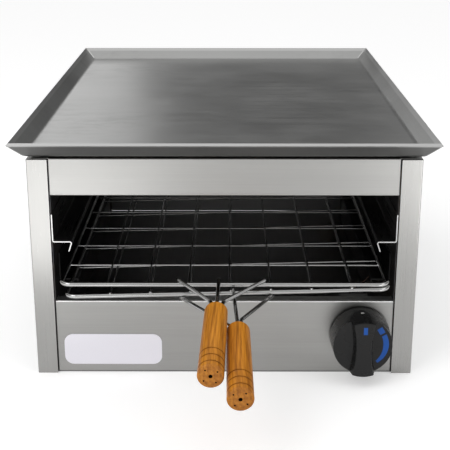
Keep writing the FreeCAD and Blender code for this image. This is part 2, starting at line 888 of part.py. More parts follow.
def wire_grid(name, long_shift):
    """A frame bar bent to a loop, with long wires over cross wires, drawn about Z zero."""
    label = f"{name}_grid"
    half = cell(f"{label}_half_width")
    long_pitch = cell(f"{name}_long_pitch")
    body = new_body(label)
    path = sketch_on(body, "XY_Plane")
    draw_loop(path, half, grill_front, grill_rear, s.grill_corner)
    section = sketch_on(body, "XZ_Plane", -(grill_front + s.grill_corner))
    draw_circle(section, (half, as_size(0)), s.grill_bar_radius)
    frame = body.newObject("PartDesign::AdditivePipe", f"{label}_frame")
    frame.Profile = section
    frame.Spine = (path, [f"Edge{n}" for n in range(1, 9)])
    long_count = 7
    first_x = long_shift - long_pitch * ((long_count - 1) / 2)
    long_y = (grill_front - s.wire_overrun, grill_rear + s.wire_overrun)
    long_wire = pad_y(body, long_y, lambda sketch: draw_circle(
        sketch, (first_x, cell(f"{name}_long_rise")), s.grill_wire_radius))
    pattern(body, long_wire, "H_Axis", long_pitch, as_size(long_count))
    cross_count = 6
    first_y = grill_front + cell(f"{name}_cross_first")
    cross_wire = pad_x(body, (-half, half), lambda sketch: draw_circle(
        sketch, (first_y, -cell(f"{name}_cross_drop")), s.grill_wire_radius))
    pattern(body, cross_wire, "H_Axis", s.cross_pitch, as_size(cross_count))
    return body


def upper_grid():
    body = wire_grid("upper", s.upper_long_shift)
    bind(body, "Placement.Base.z", upper_grid_height)


def lower_grid():
    body = wire_grid("lower", s.lower_long_shift - s.lower_grid_shift)
    body.Placement = Placement(Vector(0, 0, 0), Rotation(Vector(0, -1, 0), 1))
    bind(body, "Placement.Base.x", s.lower_grid_shift)
    bind(body, "Placement.Base.z", lower_grid_height)
    body.setExpression("Placement.Rotation.Angle", f"{s.lower_grid_roll.text} * 1 deg")


def hinge_clips():
    """Two straps: a ring round the upper grid's rear bar and a leg down behind the lower one."""
    body = new_body("hinge_clips")
    bore = s.grill_bar_radius + s.clip_clearance
    middle = s.lower_long_shift
    for hand in (-1, 1):
        place = middle + s.clip_spacing / 2 * hand
        x = (place - s.clip_width / 2, place + s.clip_width / 2)
        ring_at = (grill_rear, upper_grid_height)
        pad_x(body, x, lambda sketch: draw_circle(sketch, ring_at, bore + s.clip_sheet))
        leg_y = (grill_rear + bore, grill_rear + bore + s.clip_sheet)
        block(body, x, leg_y, (upper_grid_height - s.clip_leg, upper_grid_height))
        pocket_x(body, x, lambda sketch: draw_circle(sketch, ring_at, bore))


class Handle:
    """Where one handle lies: its start, its direction and the rods that carry it.

    A rod is its place along the front bar, its side of the bar (1 above, -1 below) and the straight
    length that it keeps behind the wood before it bends towards the bar.
    """

    def __init__(self, name, bar_height, rods, entry_drop):
        self.name = name
        side = cell(f"{name}_handle_side")
        sway = cell(f"{name}_handle_sway")
        slope = cell(f"{name}_handle_slope")
        start_y = grill_front - cell(f"{name}_handle_reach")
        start_z = bar_height(side) - cell(f"{name}_handle_drop")
        self.start = Vector(float(side), float(start_y), float(start_z))
        self.heading = Vector(float(sway), float(-s.handle_length * slope.cosine()),
                              float(-s.handle_length * slope.sine())).normalize()
        self.bar_height = bar_height
        self.rods = rods
        self.entry_drop = float(entry_drop)

    def placement(self):
        """Takes the handle's own frame, Z along the wood and X to the right, to its place."""
        upwards = Vector(1, 0, 0).cross(self.heading)
        turn = Rotation(Vector(1, 0, 0), upwards, self.heading, "ZXY")
        return Placement(self.start, turn)

    def entry(self, hand):
        """Where a rod meets the wood's rear end, in the handle's own frame."""
        spread = float(cell(f"{self.name}_rod_spread"))
        return Vector(spread * hand, self.entry_drop * abs(hand), 0)


def wooden_handle(handle):
    """Turned wood: rounded rear end, three burnt grooves and holes in the front end."""
    body = new_body(f"{handle.name}_handle")
    length = s.handle_length
    groove_ends = []
    for step in range(3):
        groove = length - s.groove_first + s.groove_pitch * step
        groove_ends.append((groove, groove + s.groove_width))

    def radius_at(along):
        return s.handle_rear_radius + (s.handle_front_radius - s.handle_rear_radius) * along / length

    outline = [(as_size(0), as_size(0)), (s.handle_rear_radius, as_size(0))]
    for low, high in groove_ends:
        outline.append((radius_at(low), low))
        outline.append((radius_at(low) - s.groove_depth, low))
        outline.append((radius_at(low) - s.groove_depth, high))
        outline.append((radius_at(high), high))
    outline.append((s.handle_front_radius, length))
    outline.append((as_size(0), length))
    revolve(body, "XZ_Plane", outline, "V_Axis")
    round_edges(body, s.handle_rear_round, lambda edge: isinstance(edge.Curve, Part.Circle) and abs(
        edge.Curve.Center.z) < 0.01)
    round_edges(body, s.handle_front_round, lambda edge: isinstance(edge.Curve, Part.Circle) and abs(
        edge.Curve.Center.z - float(length)) < 0.01)
    pocket_z(body, (length - s.end_hole_depth, length), lambda sketch: draw_circle(
        sketch, (as_size(0), as_size(0)), s.end_hole_radius))
    for quarter in range(4):
        angle = cell(f"{handle.name}_hole_turn") + 45 + 90 * quarter
        place = (s.small_hole_reach * angle.cosine(), s.small_hole_reach * angle.sine())
        pocket_z(body, (length - s.small_hole_depth, length), lambda sketch: draw_circle(
            sketch, place, s.small_hole_radius))
    for hand in (-1, 0, 1):
        entry = handle.entry(hand)
        pocket_z(body, (as_size(0), s.rod_insertion + s.rod_hole_clearance), lambda sketch: draw_circle(
            sketch, (as_size(entry.x), as_size(entry.y)), s.rod_radius + s.rod_hole_clearance))
    body.Placement = handle.placement()


def handle_rods(handle):
    """Three rods with pointed tips, from the grid's front bar into the wood."""
    place = handle.placement()
    lift = s.grill_bar_radius + s.rod_radius + s.rod_weld_gap
    rods = []
    for hand, (bar_x, over, straight) in zip((-1, 0, 1), handle.rods):
        inside = place.multVec(handle.entry(hand) + Vector(0, 0, float(s.rod_insertion)))
        bend_at = place.multVec(handle.entry(hand) - Vector(0, 0, float(straight)))
        on_bar = Vector(float(bar_x), float(grill_front), float(handle.bar_height(bar_x) + lift * over))
        heading = (on_bar - bend_at).normalize()
        beyond = on_bar + heading * float(s.rod_overrun)
        rod = bent_round([beyond, bend_at, inside], s.rod_bend, s.rod_radius)
        tip = Part.makeCone(float(s.rod_radius), float(s.rod_tip_radius), float(s.rod_tip), beyond, heading)
        rods.append(rod.fuse(tip))
    solids_of(f"{handle.name}_handle_rods", rods)


def upper_bar_height(_):
    return upper_grid_height


def lower_bar_height(x):
    return lower_grid_height + (x - s.lower_grid_shift) * s.lower_grid_roll.sine()


# Burner: header and three slotted tubes, mixer with a turning shutter, supports and radiant plate

def tube_sides():
    return [s.tube_pitch * step for step in (-1, 0, 1)]


def burner_header():
    body = new_body("burner_header")
    axis = (burner_y, s.burner_height)
    inner = s.header_radius - s.burner_wall
    pad_x(body, (s.header_left, s.header_right), lambda sketch: draw_circle(sketch, axis, s.header_radius))
    hollow = (s.header_left + s.cap_thickness, s.header_right)
    pocket_x(body, hollow, lambda sketch: draw_circle(sketch, axis, inner))
    for x in tube_sides():
        pocket_y(body, (burner_y, burner_y + s.header_radius), lambda sketch: draw_circle(
            sketch, (x, s.burner_height), s.tube_radius - s.burner_wall))


def burner_tube(label, x):
    body = new_body(label)
    axis = (x, s.burner_height)
    inner = s.tube_radius - s.burner_wall
    tail = front + s.tube_rear_back
    pad_y(body, (burner_y, tail), lambda sketch: draw_circle(sketch, axis, s.tube_radius))
    pocket_y(body, (burner_y, tail - s.cap_thickness), lambda sketch: draw_circle(sketch, axis, inner))
    pocket_x(body, (x - s.header_radius, x + s.header_radius), lambda sketch: draw_circle(
        sketch, (burner_y, s.burner_height), s.header_radius + s.tube_fit))
    first = front + s.port_first_back
    ports = pocket_z(body, (s.burner_height - s.tube_radius, s.burner_height + s.tube_radius),
                     lambda sketch: draw_rectangle(sketch, (x - s.port_length / 2, x + s.port_length / 2),
                                                   (first, first + s.port_width)))
    pattern(body, ports, "V_Axis", s.port_pitch, s.port_count)


def mixer_tube():
    body = new_body("mixer_tube")
    mouth = mixer_mouth_x
    bell = mouth - s.mixer_bell_length
    throat_right = bell - s.mixer_cone_length
    throat_left = throat_right - s.mixer_throat_length
    wide = s.header_radius
    narrow = s.mixer_throat_radius
    wall = s.burner_wall
    height = s.burner_height
    outline = [
        (s.header_right, wide),
        (throat_left, narrow),
        (throat_right, narrow),
        (bell, wide),
        (mouth, wide),
        (mouth, s.mixer_hole_radius),
        (mouth - wall, s.mixer_hole_radius),
        (mouth - wall, wide - wall),
        (bell, wide - wall),
        (throat_right, narrow - wall),
        (throat_left, narrow - wall),
        (s.header_right, wide - wall),
    ]
    revolve(body, "XZ_Plane", outline, "H_Axis")
    window_x = (mouth - wall * 2 - s.window_length, mouth - wall * 2)
    window_z = (-s.window_height / 2, s.window_height / 2)
    pocket_y(body, (-wide, wide), lambda sketch: draw_rectangle(sketch, window_x, window_z))
    bind(body, "Placement.Base.y", burner_y)
    bind(body, "Placement.Base.z", height)


def air_shutter():
    body = new_body("air_shutter")
    inner = s.header_radius + s.shutter_clearance
    outer = inner + s.shutter_wall
    right = mixer_mouth_x - s.shutter_gap
    left = right - s.shutter_length
    revolve(body, "XZ_Plane", [(left, inner), (left, outer), (right, outer), (right, inner)], "H_Axis")
    window_x = (mixer_mouth_x - s.burner_wall * 2 - s.window_length, mixer_mouth_x - s.burner_wall * 2)
    window_z = (-s.window_height / 2, s.window_height / 2)
    pocket_y(body, (-outer, outer), lambda sketch: draw_rectangle(sketch, window_x, window_z))
    bind(body, "Placement.Base.y", burner_y)
    bind(body, "Placement.Base.z", s.burner_height)


def support_places():
    return (front + s.support_front_back, front + s.support_rear_back)


def support_screw_places():
    """Screw axes (y, z) through the support tabs and the liners, two at each tab."""
    places = []
    for y in support_places():
        for z in (s.support_bottom + s.support_tab / 2, s.support_top - s.support_tab / 2):
            places.append((y + s.support_tab / 2, z))
    return places


def burner_support(label, y):
    body = new_body(label)
    tabs_in = liner_inner - s.support_sheet
    outline = [
        (-liner_inner, y),
        (liner_inner, y),
        (liner_inner, y + s.support_tab),
        (tabs_in, y + s.support_tab),
        (tabs_in, y + s.support_sheet),
        (-tabs_in, y + s.support_sheet),
        (-tabs_in, y + s.support_tab),
        (-liner_inner, y + s.support_tab),
    ]
    pad_z(body, (s.support_bottom, s.support_top), lambda sketch: draw_polygon(sketch, outline))
    foot_x = (-s.radiant_half_width, s.radiant_half_width)
    foot_y = (y + s.support_sheet, y + s.support_tab)
    block(body, foot_x, foot_y, (s.support_bottom, s.support_bottom + s.support_sheet))
    through = (y, y + s.support_sheet)
    for x in tube_sides():
        pocket_y(body, through, lambda sketch: draw_circle(
            sketch, (x, s.burner_height), s.tube_radius + s.tube_fit))
    for x in radiant_screw_sides():
        pocket_z(body, (s.support_bottom, s.support_bottom + s.support_sheet), lambda sketch: draw_circle(
            sketch, (x, y + s.support_tab / 2), s.screw_radius + s.screw_fit))
    for hand in (-1, 1):
        tab = sorted((tabs_in * hand, liner_inner * hand), key=float)
        for z in (s.support_bottom + s.support_tab / 2, s.support_top - s.support_tab / 2):
            pocket_x(body, tab, lambda sketch: draw_circle(
                sketch, (y + s.support_tab / 2, z), s.screw_radius + s.screw_fit))
    if label == "burner_support_front":
        pocket_y(body, through, lambda sketch: draw_circle(
            sketch, (s.sensor_side, sensor_height), s.sensor_radius + s.screw_fit))


def radiant_screw_sides():
    reach = s.radiant_half_width - s.support_tab / 2
    return (-reach, reach)


def radiant_plate():
    body = new_body("radiant_plate")
    span_x = (-s.radiant_half_width, s.radiant_half_width)
    span_y = (front + s.radiant_front_back, front + s.radiant_rear_back)
    z = (s.support_bottom - s.radiant_sheet, s.support_bottom)
    block(body, span_x, span_y, z)
    across = 8
    along = 14
    first_x = s.radiant_pitch_side * ((across - 1) / -2)
    first_y = front + s.support_front_back + s.support_tab + s.radiant_pitch_back
    middle_gap = s.radiant_slot_width / 2
    for column in range(across):
        x = first_x + s.radiant_pitch_side * column
        slot = pocket_z(body, z, lambda sketch: draw_rectangle(
            sketch, (x - middle_gap, x + middle_gap), (first_y, first_y + s.radiant_slot_length)))
        pattern(body, slot, "V_Axis", s.radiant_pitch_back, as_size(along))
    for y in support_places():
        for x in radiant_screw_sides():
            pocket_z(body, z, lambda sketch: draw_circle(
                sketch, (x, y + s.support_tab / 2), s.screw_radius + s.screw_fit))


# Gas route: rear inlet, pipes, nuts, valve, injector and flame sensor

def gas_inlet():
    """A threaded nipple: a shoulder inside the rear panel, a neck behind the locknut, then the connection."""
    body = new_body("gas_inlet_nipple")
    place = (s.inlet_side, s.knob_height)
    shoulder = rear_inner - s.locknut_height
    nut_end = rear + s.locknut_height
    neck_end = nut_end + s.inlet_neck
    neck = s.inlet_radius - s.inlet_neck_depth
    pad_y(body, (shoulder, nut_end), lambda sketch: draw_circle(sketch, place, s.inlet_radius))
    pad_y(body, (nut_end, neck_end), lambda sketch: draw_circle(sketch, place, neck))
    pad_y(body, (neck_end, rear + s.inlet_outside), lambda sketch: draw_circle(sketch, place, s.inlet_radius))
    pad_y(body, (shoulder, rear_inner), lambda sketch: hexagon(sketch, place, s.locknut_flats))
    inner_end = shoulder - s.inlet_inside
    pad_y(body, (inner_end, shoulder), lambda sketch: draw_circle(sketch, place, s.boss_radius))
    pocket_y(body, (inner_end, rear + s.inlet_outside), lambda sketch: draw_circle(
        sketch, place, s.inlet_bore - s.pipe_wall))


def inlet_locknut():
    body = new_body("inlet_locknut")
    place = (s.inlet_side, s.knob_height)
    y = (rear, rear + s.locknut_height)
    pad_y(body, y, lambda sketch: hexagon(sketch, place, s.locknut_flats))
    pocket_y(body, y, lambda sketch: draw_circle(sketch, place, s.inlet_radius + s.nut_clearance))


def supply_pipe():
    start = rear_inner - s.locknut_height - s.inlet_inside
    jog = start - s.inlet_jog_back + s.pipe_bend / 2
    height = s.knob_height
    points = [
        (s.inlet_side, start, height),
        (s.inlet_side, jog, height),
        (gap_pipe_side, jog, height),
        (gap_pipe_side, supply_port_y, height),
        (boss_end, supply_port_y, height),
    ]
    solids_of("supply_pipe", [bent_tube(points, s.pipe_bend, s.supply_radius, s.pipe_wall)])


def burner_pipe():
    points = [
        (boss_end, burner_y, outlet_height),
        (gap_pipe_side, burner_y, outlet_height),
        (gap_pipe_side, burner_y, s.burner_height),
        (s.injector_side, burner_y, s.burner_height),
    ]
    solids_of("burner_pipe", [bent_tube(points, s.pipe_bend, s.burner_pipe_radius, s.pipe_wall)])


def pipe_nuts():
    body = new_body("pipe_nuts")
    nuts = (
        (boss_end, supply_port_y, s.knob_height, s.nut_flats_large, s.supply_radius),
        (boss_end, burner_y, outlet_height, s.nut_flats_small, s.burner_pipe_radius),
        (s.injector_side, burner_y, s.burner_height, s.nut_flats_small, s.burner_pipe_radius),
    )
    for left, y, z, flats, pipe in nuts:
        x = (left, left + s.nut_length)
        pad_x(body, x, lambda sketch: hexagon(sketch, (y, z), flats))
        pocket_x(body, x, lambda sketch: draw_circle(sketch, (y, z), pipe + s.nut_clearance))


def valve_body():
    body = new_body("valve_body")
    low = s.knob_height - s.valve_below
    high = s.knob_height + s.valve_above
    left = s.knob_side - s.valve_width / 2
    rear_y = front + s.valve_rear_back
    axis = (s.knob_side, s.knob_height)
    block(body, (left, valve_right), (bonnet_back, rear_y), (low, high))
    for y, z in ((supply_port_y, s.knob_height), (burner_y, outlet_height)):
        pad_x(body, (valve_right, boss_end), lambda sketch: draw_circle(sketch, (y, z), s.boss_radius))
        pocket_x(body, (s.knob_side, boss_end), lambda sketch: draw_circle(sketch, (y, z), s.plug_port_radius))
    plug_end = front + s.plug_rear_back
    seat = front + s.magnet_seat_back
    pocket_y(body, (bonnet_back, plug_end), lambda sketch: draw_circle(sketch, axis, s.plug_radius + s.plug_fit))
    pocket_y(body, (plug_end, seat), lambda sketch: draw_circle(sketch, axis, s.plug_port_radius))
    pocket_z(body, (s.knob_height, outlet_height), lambda sketch: draw_circle(
        sketch, (s.knob_side, burner_y), s.plug_port_radius))
    pocket_y(body, (seat, rear_y), lambda sketch: draw_circle(sketch, axis, s.magnet_radius + s.magnet_fit))
    for hand in (-1, 1):
        place = (s.knob_side + s.valve_screw_spacing / 2 * hand, s.knob_height)
        depth = bonnet_back + s.screw_length
        pocket_y(body, (bonnet_back, depth), lambda sketch: draw_circle(
            sketch, place, s.valve_screw_radius + s.screw_fit))


def valve_bonnet():
    body = new_body("valve_bonnet")
    axis = (s.knob_side, s.knob_height)
    span = (s.knob_side - s.bonnet_width / 2, s.knob_side + s.bonnet_width / 2)
    rise = (s.knob_height - s.valve_below, s.knob_height + s.valve_below)
    plate = (panel_back, bonnet_back)
    pad_y(body, plate, lambda sketch: draw_rectangle(sketch, span, rise))
    nose = (panel_front + s.nose_recess, panel_back)
    pad_y(body, nose, lambda sketch: draw_circle(sketch, axis, s.nose_radius))
    pocket_y(body, (panel_front + s.nose_recess, bonnet_back), lambda sketch: draw_circle(
        sketch, axis, s.spindle_radius + s.spindle_fit))
    for hand in (-1, 1):
        place = (s.knob_side + s.valve_screw_spacing / 2 * hand, s.knob_height)
        pocket_y(body, plate, lambda sketch: draw_circle(sketch, place, s.valve_screw_radius + s.screw_fit))


def valve_plug():
    """The turning plug, with a flatted socket that the spindle slides in."""
    body = new_body("valve_plug")
    axis = (s.knob_side, s.knob_height)
    y = (front + s.plug_front_back, front + s.plug_rear_back)
    pad_y(body, y, lambda sketch: draw_circle(sketch, axis, s.plug_radius))
    socket = s.spindle_radius + s.spindle_fit
    socket_y = (y[0], y[0] + s.spindle_tail)
    cut_flatted(body, socket_y, socket, s.spindle_flat + s.spindle_fit)
    pocket_x(body, (s.knob_side + socket, s.knob_side + s.plug_radius), lambda sketch: draw_circle(
        sketch, (supply_port_y, s.knob_height), s.plug_port_radius))


def cut_flatted(body, y, radius, flat):
    """Cut a round hole with one flat side below it, for the spindle."""
    low = s.knob_height - flat
    axis = (s.knob_side, s.knob_height)
    pocket_y(body, y, lambda sketch: draw_circle(sketch, axis, radius))
    fill = (s.knob_height - radius - s.spindle_fit, low)
    span = (s.knob_side - radius, s.knob_side + radius)
    pad_y(body, y, lambda sketch: draw_rectangle(sketch, span, fill))


def valve_spindle():
    body = new_body("valve_spindle")
    axis = (s.knob_side, s.knob_height)
    head = knob_rear - s.knob_bore_depth + s.spindle_fit
    tail = front + s.plug_front_back + s.spindle_tail / 2
    pad_y(body, (head, tail), lambda sketch: draw_circle(sketch, axis, s.spindle_radius))
    span = (s.knob_side - s.plug_radius, s.knob_side + s.plug_radius)
    fall = (s.knob_height - s.plug_radius, s.knob_height - s.spindle_flat)
    for y in ((head, knob_rear), (front + s.plug_front_back - s.knob_stand_off, tail)):
        pocket_y(body, y, lambda sketch: draw_rectangle(sketch, span, fall))
    collar = (bonnet_back, bonnet_back + s.spindle_collar)
    pad_y(body, collar, lambda sketch: draw_circle(sketch, axis, s.spindle_collar_radius))


def valve_spring():
    start = bonnet_back + s.spindle_collar + s.spring_end_gap + s.spring_wire
    end = front + s.plug_front_back - s.spring_end_gap - s.spring_wire
    height = float(end - start)
    helix = Part.makeHelix(height / float(s.spring_turns), height, float(s.spring_radius))
    section = Part.Wire(Part.Circle(Vector(float(s.spring_radius), 0, 0), Vector(0, 1, 0),
                                    float(s.spring_wire)).toShape())
    coil = Part.Wire(helix).makePipeShell([section], True, True)
    coil.Placement = Placement(Vector(float(s.knob_side), float(start), float(s.knob_height)),
                               Rotation(Vector(1, 0, 0), -90))
    solids_of("valve_spring", [coil])


def magnet_unit():
    body = new_body("safety_magnet")
    axis = (s.knob_side, s.knob_height)
    seat = front + s.magnet_seat_back
    block_end = front + s.valve_rear_back
    pad_y(body, (seat, front + s.magnet_rear_back), lambda sketch: draw_circle(sketch, axis, s.magnet_radius))
    pad_y(body, (block_end, block_end + s.magnet_hex_length), lambda sketch: hexagon(
        sketch, axis, s.magnet_hex_flats))


def injector():
    body = new_body("injector")
    right = s.injector_side
    flange_left = right - s.injector_flange
    neck_left = flange_left - s.injector_neck
    tip = neck_left - s.injector_nose
    outline = [
        (right, s.injector_bore_radius),
        (right, s.injector_flange_radius),
        (flange_left, s.injector_flange_radius),
        (flange_left, s.injector_neck_radius),
        (neck_left, s.injector_neck_radius),
        (neck_left, s.injector_nose_radius),
        (tip, s.injector_nose_radius),
        (tip, s.injector_jet_radius),
        (tip + s.injector_flange, s.injector_jet_radius),
        (tip + s.injector_flange, s.injector_bore_radius),
    ]
    revolve(body, "XZ_Plane", outline, "H_Axis")
    bind(body, "Placement.Base.y", burner_y)
    bind(body, "Placement.Base.z", s.burner_height)


def injector_bracket():
    """A Z shaped strap from the right liner to the injector's neck."""
    body = new_body("injector_bracket")
    plate_right = s.injector_side - s.injector_flange
    plate_left = plate_right - s.bracket_sheet
    arm = s.burner_height + s.bracket_above
    foot_top = arm + s.bracket_foot
    outline = [
        (plate_left, s.burner_height - s.bracket_below),
        (plate_right, s.burner_height - s.bracket_below),
        (plate_right, arm - s.bracket_sheet),
        (liner_inner, arm - s.bracket_sheet),
        (liner_inner, foot_top),
        (liner_inner - s.bracket_sheet, foot_top),
        (liner_inner - s.bracket_sheet, arm),
        (plate_left, arm),
    ]
    y = (burner_y - s.bracket_depth / 2, burner_y + s.bracket_depth / 2)
    pad_y(body, y, lambda sketch: draw_polygon(sketch, outline))
    pocket_x(body, (plate_left, plate_right), lambda sketch: draw_circle(
        sketch, (burner_y, s.burner_height), s.injector_neck_radius + s.nut_clearance))


def flame_sensor():
    body = new_body("flame_sensor")
    place = (s.sensor_side, sensor_height)
    start = front + s.support_front_back - s.sensor_ahead
    plate = front + s.support_front_back
    pad_y(body, (start, start + s.sensor_length), lambda sketch: draw_circle(sketch, place, s.sensor_radius))
    pad_y(body, (start, plate), lambda sketch: hexagon(sketch, place, s.sensor_radius * 3))


def lead_points():
    """The flame sensor's lead: forward, through the liner, down the side gap and to the magnet."""
    start_y = front + s.support_front_back - s.sensor_ahead
    magnet_y = front + s.magnet_rear_back
    return [
        (s.sensor_side, start_y, sensor_height),
        (s.sensor_side, lead_upper_y, sensor_height),
        (lead_gap_side, lead_upper_y, sensor_height),
        (lead_gap_side, lead_lower_y, sensor_height - s.sensor_length),
        (lead_gap_side, lead_lower_y, s.knob_height + s.valve_above * 1.6),
        (s.knob_side + s.valve_width * 0.75, lead_lower_y, s.knob_height + s.valve_above * 0.6),
        (s.knob_side + s.magnet_radius, lead_lower_y - s.lead_bend / 2, s.knob_height),
        (s.knob_side, lead_lower_y - s.lead_bend * 3, s.knob_height),
        (s.knob_side, magnet_y, s.knob_height),
    ]


def lead_crossing():
    """Where the lead passes the liner on its way to the magnet, as (y, z)."""
    before, after = lead_points()[4:6]
    share = (before[0] - (liner_inner + liner_outer) / 2) / (before[0] - after[0])
    return (before[1] + (after[1] - before[1]) * share, before[2] + (after[2] - before[2]) * share)


def sensor_lead():
    solids_of("flame_sensor_lead", [bent_round(lead_points(), s.lead_bend, s.lead_radius)])


# Knob: a tapered drum, cut back on both sides to leave a waisted grip

def knob():
    body = new_body("knob")
    depth = s.knob_depth
    outline = [
        (as_size(0), as_size(0)),
        (s.knob_rear_radius, as_size(0)),
        (s.knob_front_radius, depth),
        (as_size(0), depth),
    ]
    revolve(body, "XZ_Plane", outline, "V_Axis")
    face = depth - s.knob_grip_depth
    bow = s.knob_grip_end - s.knob_waist
    half = s.knob_front_radius
    arc_radius = (half * half + bow * bow) / (bow * 2)
    for hand in (-1, 1):
        cut = pocket_z(body, (face, depth), lambda sketch: draw_circle(
            sketch, ((s.knob_waist + arc_radius) * hand, as_size(0)), arc_radius))
        bind(cut, "TaperAngle", -s.knob_grip_draft)
    round_edges(body, s.knob_edge, lambda edge: abs(
        edge.valueAt((edge.FirstParameter + edge.LastParameter) / 2).z - float(depth)) < 0.01)
    inner = s.knob_rear_radius - s.knob_wall
    hollow = s.knob_hollow_depth
    sketch = sketch_on(body, "XY_Plane", as_size(0))
    draw_circle(sketch, (as_size(0), as_size(0)), inner)
    draw_circle(sketch, (as_size(0), as_size(0)), s.knob_hub_radius)
    ring = feature(body, "Pocket", sketch, hollow)
    ring.Reversed = True
    bore = s.spindle_radius + s.spindle_fit
    sketch = sketch_on(body, "XY_Plane", as_size(0))
    flat = s.spindle_flat + s.spindle_fit
    draw_circle(sketch, (as_size(0), as_size(0)), bore)
    socket = feature(body, "Pocket", sketch, s.knob_bore_depth)
    socket.Reversed = True
    pad_z(body, (as_size(0), s.knob_bore_depth), lambda outline: draw_rectangle(
        outline, (-bore, bore), (-bore - s.spindle_fit, -flat)))
    body.Placement = Placement(Vector(0, 0, 0), Rotation(Vector(1, 0, 0), 90))
    bind(body, "Placement.Base.x", s.knob_side)
    bind(body, "Placement.Base.y", knob_rear)
    bind(body, "Placement.Base.z", s.knob_height)


# Screws: a round head with a plain shank

def screw(place, heading, shank_radius, length):
    """A screw whose head sits on the surface at place, with the shank along heading."""
    shank = Part.makeCylinder(float(shank_radius), float(length), place, heading)
    head = Part.makeCylinder(float(shank_radius) * 1.9, float(s.screw_head), place, heading * -1)
    return shank.fuse(head).removeSplitter()


def spot(x, y, z):
    return Vector(float(x), float(y), float(z))


def all_screws():
    rear_screws = []
    roof_screws = []
    support_screws = []
    radiant_screws = []
    valve_screws = []
    for hand in (-1, 1):
        for step in range(int(float(s.rear_screw_count))):
            height = s.rear_screw_first + rear_screw_pitch() * step
            rear_screws.append(screw(spot(flange_middle * hand, rear, height), Vector(0, -1, 0),
                                     s.screw_radius, s.screw_length))
        roof_screws.append(screw(spot(flange_middle * hand, front + s.lug_screw_back, panel_top),
                                 Vector(0, 0, -1), s.screw_radius, s.screw_length))
        for y, z in support_screw_places():
            support_screws.append(screw(spot((liner_inner - s.support_sheet) * hand, y, z),
                                        Vector(hand, 0, 0), s.screw_radius, s.screw_length))
        valve_screws.append(screw(spot(s.knob_side + s.valve_screw_spacing / 2 * hand, panel_front, s.knob_height),
                                  Vector(0, 1, 0), s.valve_screw_radius, s.screw_length))
    for y in support_places():
        for x in radiant_screw_sides():
            radiant_screws.append(screw(spot(x, y + s.support_tab / 2, s.support_bottom - s.radiant_sheet),
                                        Vector(0, 0, 1), s.screw_radius, s.screw_length))
    solids_of("rear_panel_screws", rear_screws)
    solids_of("upper_panel_screws", roof_screws)
    solids_of("burner_support_screws", support_screws)
    solids_of("radiant_plate_screws", radiant_screws)
    solids_of("valve_screws", valve_screws)


def build():
    for name, hand in (("left", -1), ("right", 1)):
        side_panel(f"side_panel_{name}", hand)
        liner(f"liner_{name}", hand)
        rail(f"upper_rail_{name}", hand, s.upper_rail_height, s.upper_rail_front_back)
        rail(f"lower_rail_{name}", hand, s.lower_rail_height, s.lower_rail_front_back)
        griddle_rest(f"griddle_rest_{name}", hand)
    rear_panel()
    base_pan()
    upper_front_panel()
    lower_front_panel()
    badge_plate()
    griddle_plate()
    griddle_pins()
    upper_grid()
    lower_grid()
    hinge_clips()
    upper = Handle("upper", upper_bar_height, (
        (s.upper_rod_left, 1, s.upper_rod_straight), (s.upper_rod_middle, 1, s.upper_rod_straight),
        (s.upper_rod_right, 1, s.upper_rod_straight)), 0)
    lower = Handle("lower", lower_bar_height, (
        (s.lower_rod_left, -1, s.lower_left_straight), (s.lower_rod_middle, 1, s.lower_middle_straight),
        (s.lower_rod_right, -1, s.lower_right_straight)), -s.lower_rod_entry)
    for handle in (upper, lower):
        wooden_handle(handle)
        handle_rods(handle)
    burner_header()
    for name, x in zip(("left", "middle", "right"), tube_sides()):
        burner_tube(f"burner_tube_{name}", x)
    mixer_tube()
    air_shutter()
    for name, y in zip(("front", "rear"), support_places()):
        burner_support(f"burner_support_{name}", y)
    radiant_plate()
    gas_inlet()
    inlet_locknut()
    supply_pipe()
    burner_pipe()
    pipe_nuts()
    valve_body()
    valve_bonnet()
    valve_plug()
    valve_spindle()
    valve_spring()
    magnet_unit()
    injector()
    injector_bracket()
    flame_sensor()
    sensor_lead()
    knob()
    all_screws()


def check_and_export():
    """Stop on any failed object or bad shape, then write one file for each sub-part."""
    document.recompute()
    failed = [item.Name for item in document.Objects if {"Invalid", "Error"} & set(item.State)]
    if failed:
        raise RuntimeError(f"failed objects: {failed}")
    parts = [item for item in document.Objects if item.TypeId in ("PartDesign::Body", "Part::Feature")]
    parts = [item for item in parts if item.getParentGeoFeatureGroup() is None]
    for part in parts:
        if part.Shape.isNull() or not part.Shape.isValid() or not part.Shape.Solids:
            raise RuntimeError(f"bad shape: {part.Label}")
    os.makedirs("parts", exist_ok=True)
    for part in parts:
        part.Shape.exportStep(f"parts/{part.Label}.step")
    print(f"{len(parts)} sub-parts written")


build()
check_and_export()
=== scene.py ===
"""Looks of a gas sandwich toaster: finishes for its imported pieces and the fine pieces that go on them."""

from __future__ import annotations

import logging
import math
from dataclasses import dataclass
from enum import Enum

import bmesh
import bpy
from mathutils import Matrix, Vector


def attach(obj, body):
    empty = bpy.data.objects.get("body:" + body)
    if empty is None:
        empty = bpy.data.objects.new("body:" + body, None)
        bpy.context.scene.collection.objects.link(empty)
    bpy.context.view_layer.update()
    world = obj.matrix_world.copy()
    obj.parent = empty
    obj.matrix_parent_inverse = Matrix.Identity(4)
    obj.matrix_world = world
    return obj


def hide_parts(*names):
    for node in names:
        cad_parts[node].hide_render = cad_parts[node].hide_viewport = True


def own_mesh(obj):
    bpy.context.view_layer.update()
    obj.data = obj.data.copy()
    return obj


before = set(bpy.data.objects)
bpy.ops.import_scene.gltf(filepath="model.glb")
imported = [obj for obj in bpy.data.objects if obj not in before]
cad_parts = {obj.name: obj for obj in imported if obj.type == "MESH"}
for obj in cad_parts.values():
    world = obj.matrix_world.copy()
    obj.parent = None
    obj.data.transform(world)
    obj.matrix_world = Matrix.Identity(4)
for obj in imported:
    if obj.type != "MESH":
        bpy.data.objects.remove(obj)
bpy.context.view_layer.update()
LOG = logging.getLogger("toaster")
MM = 0.001
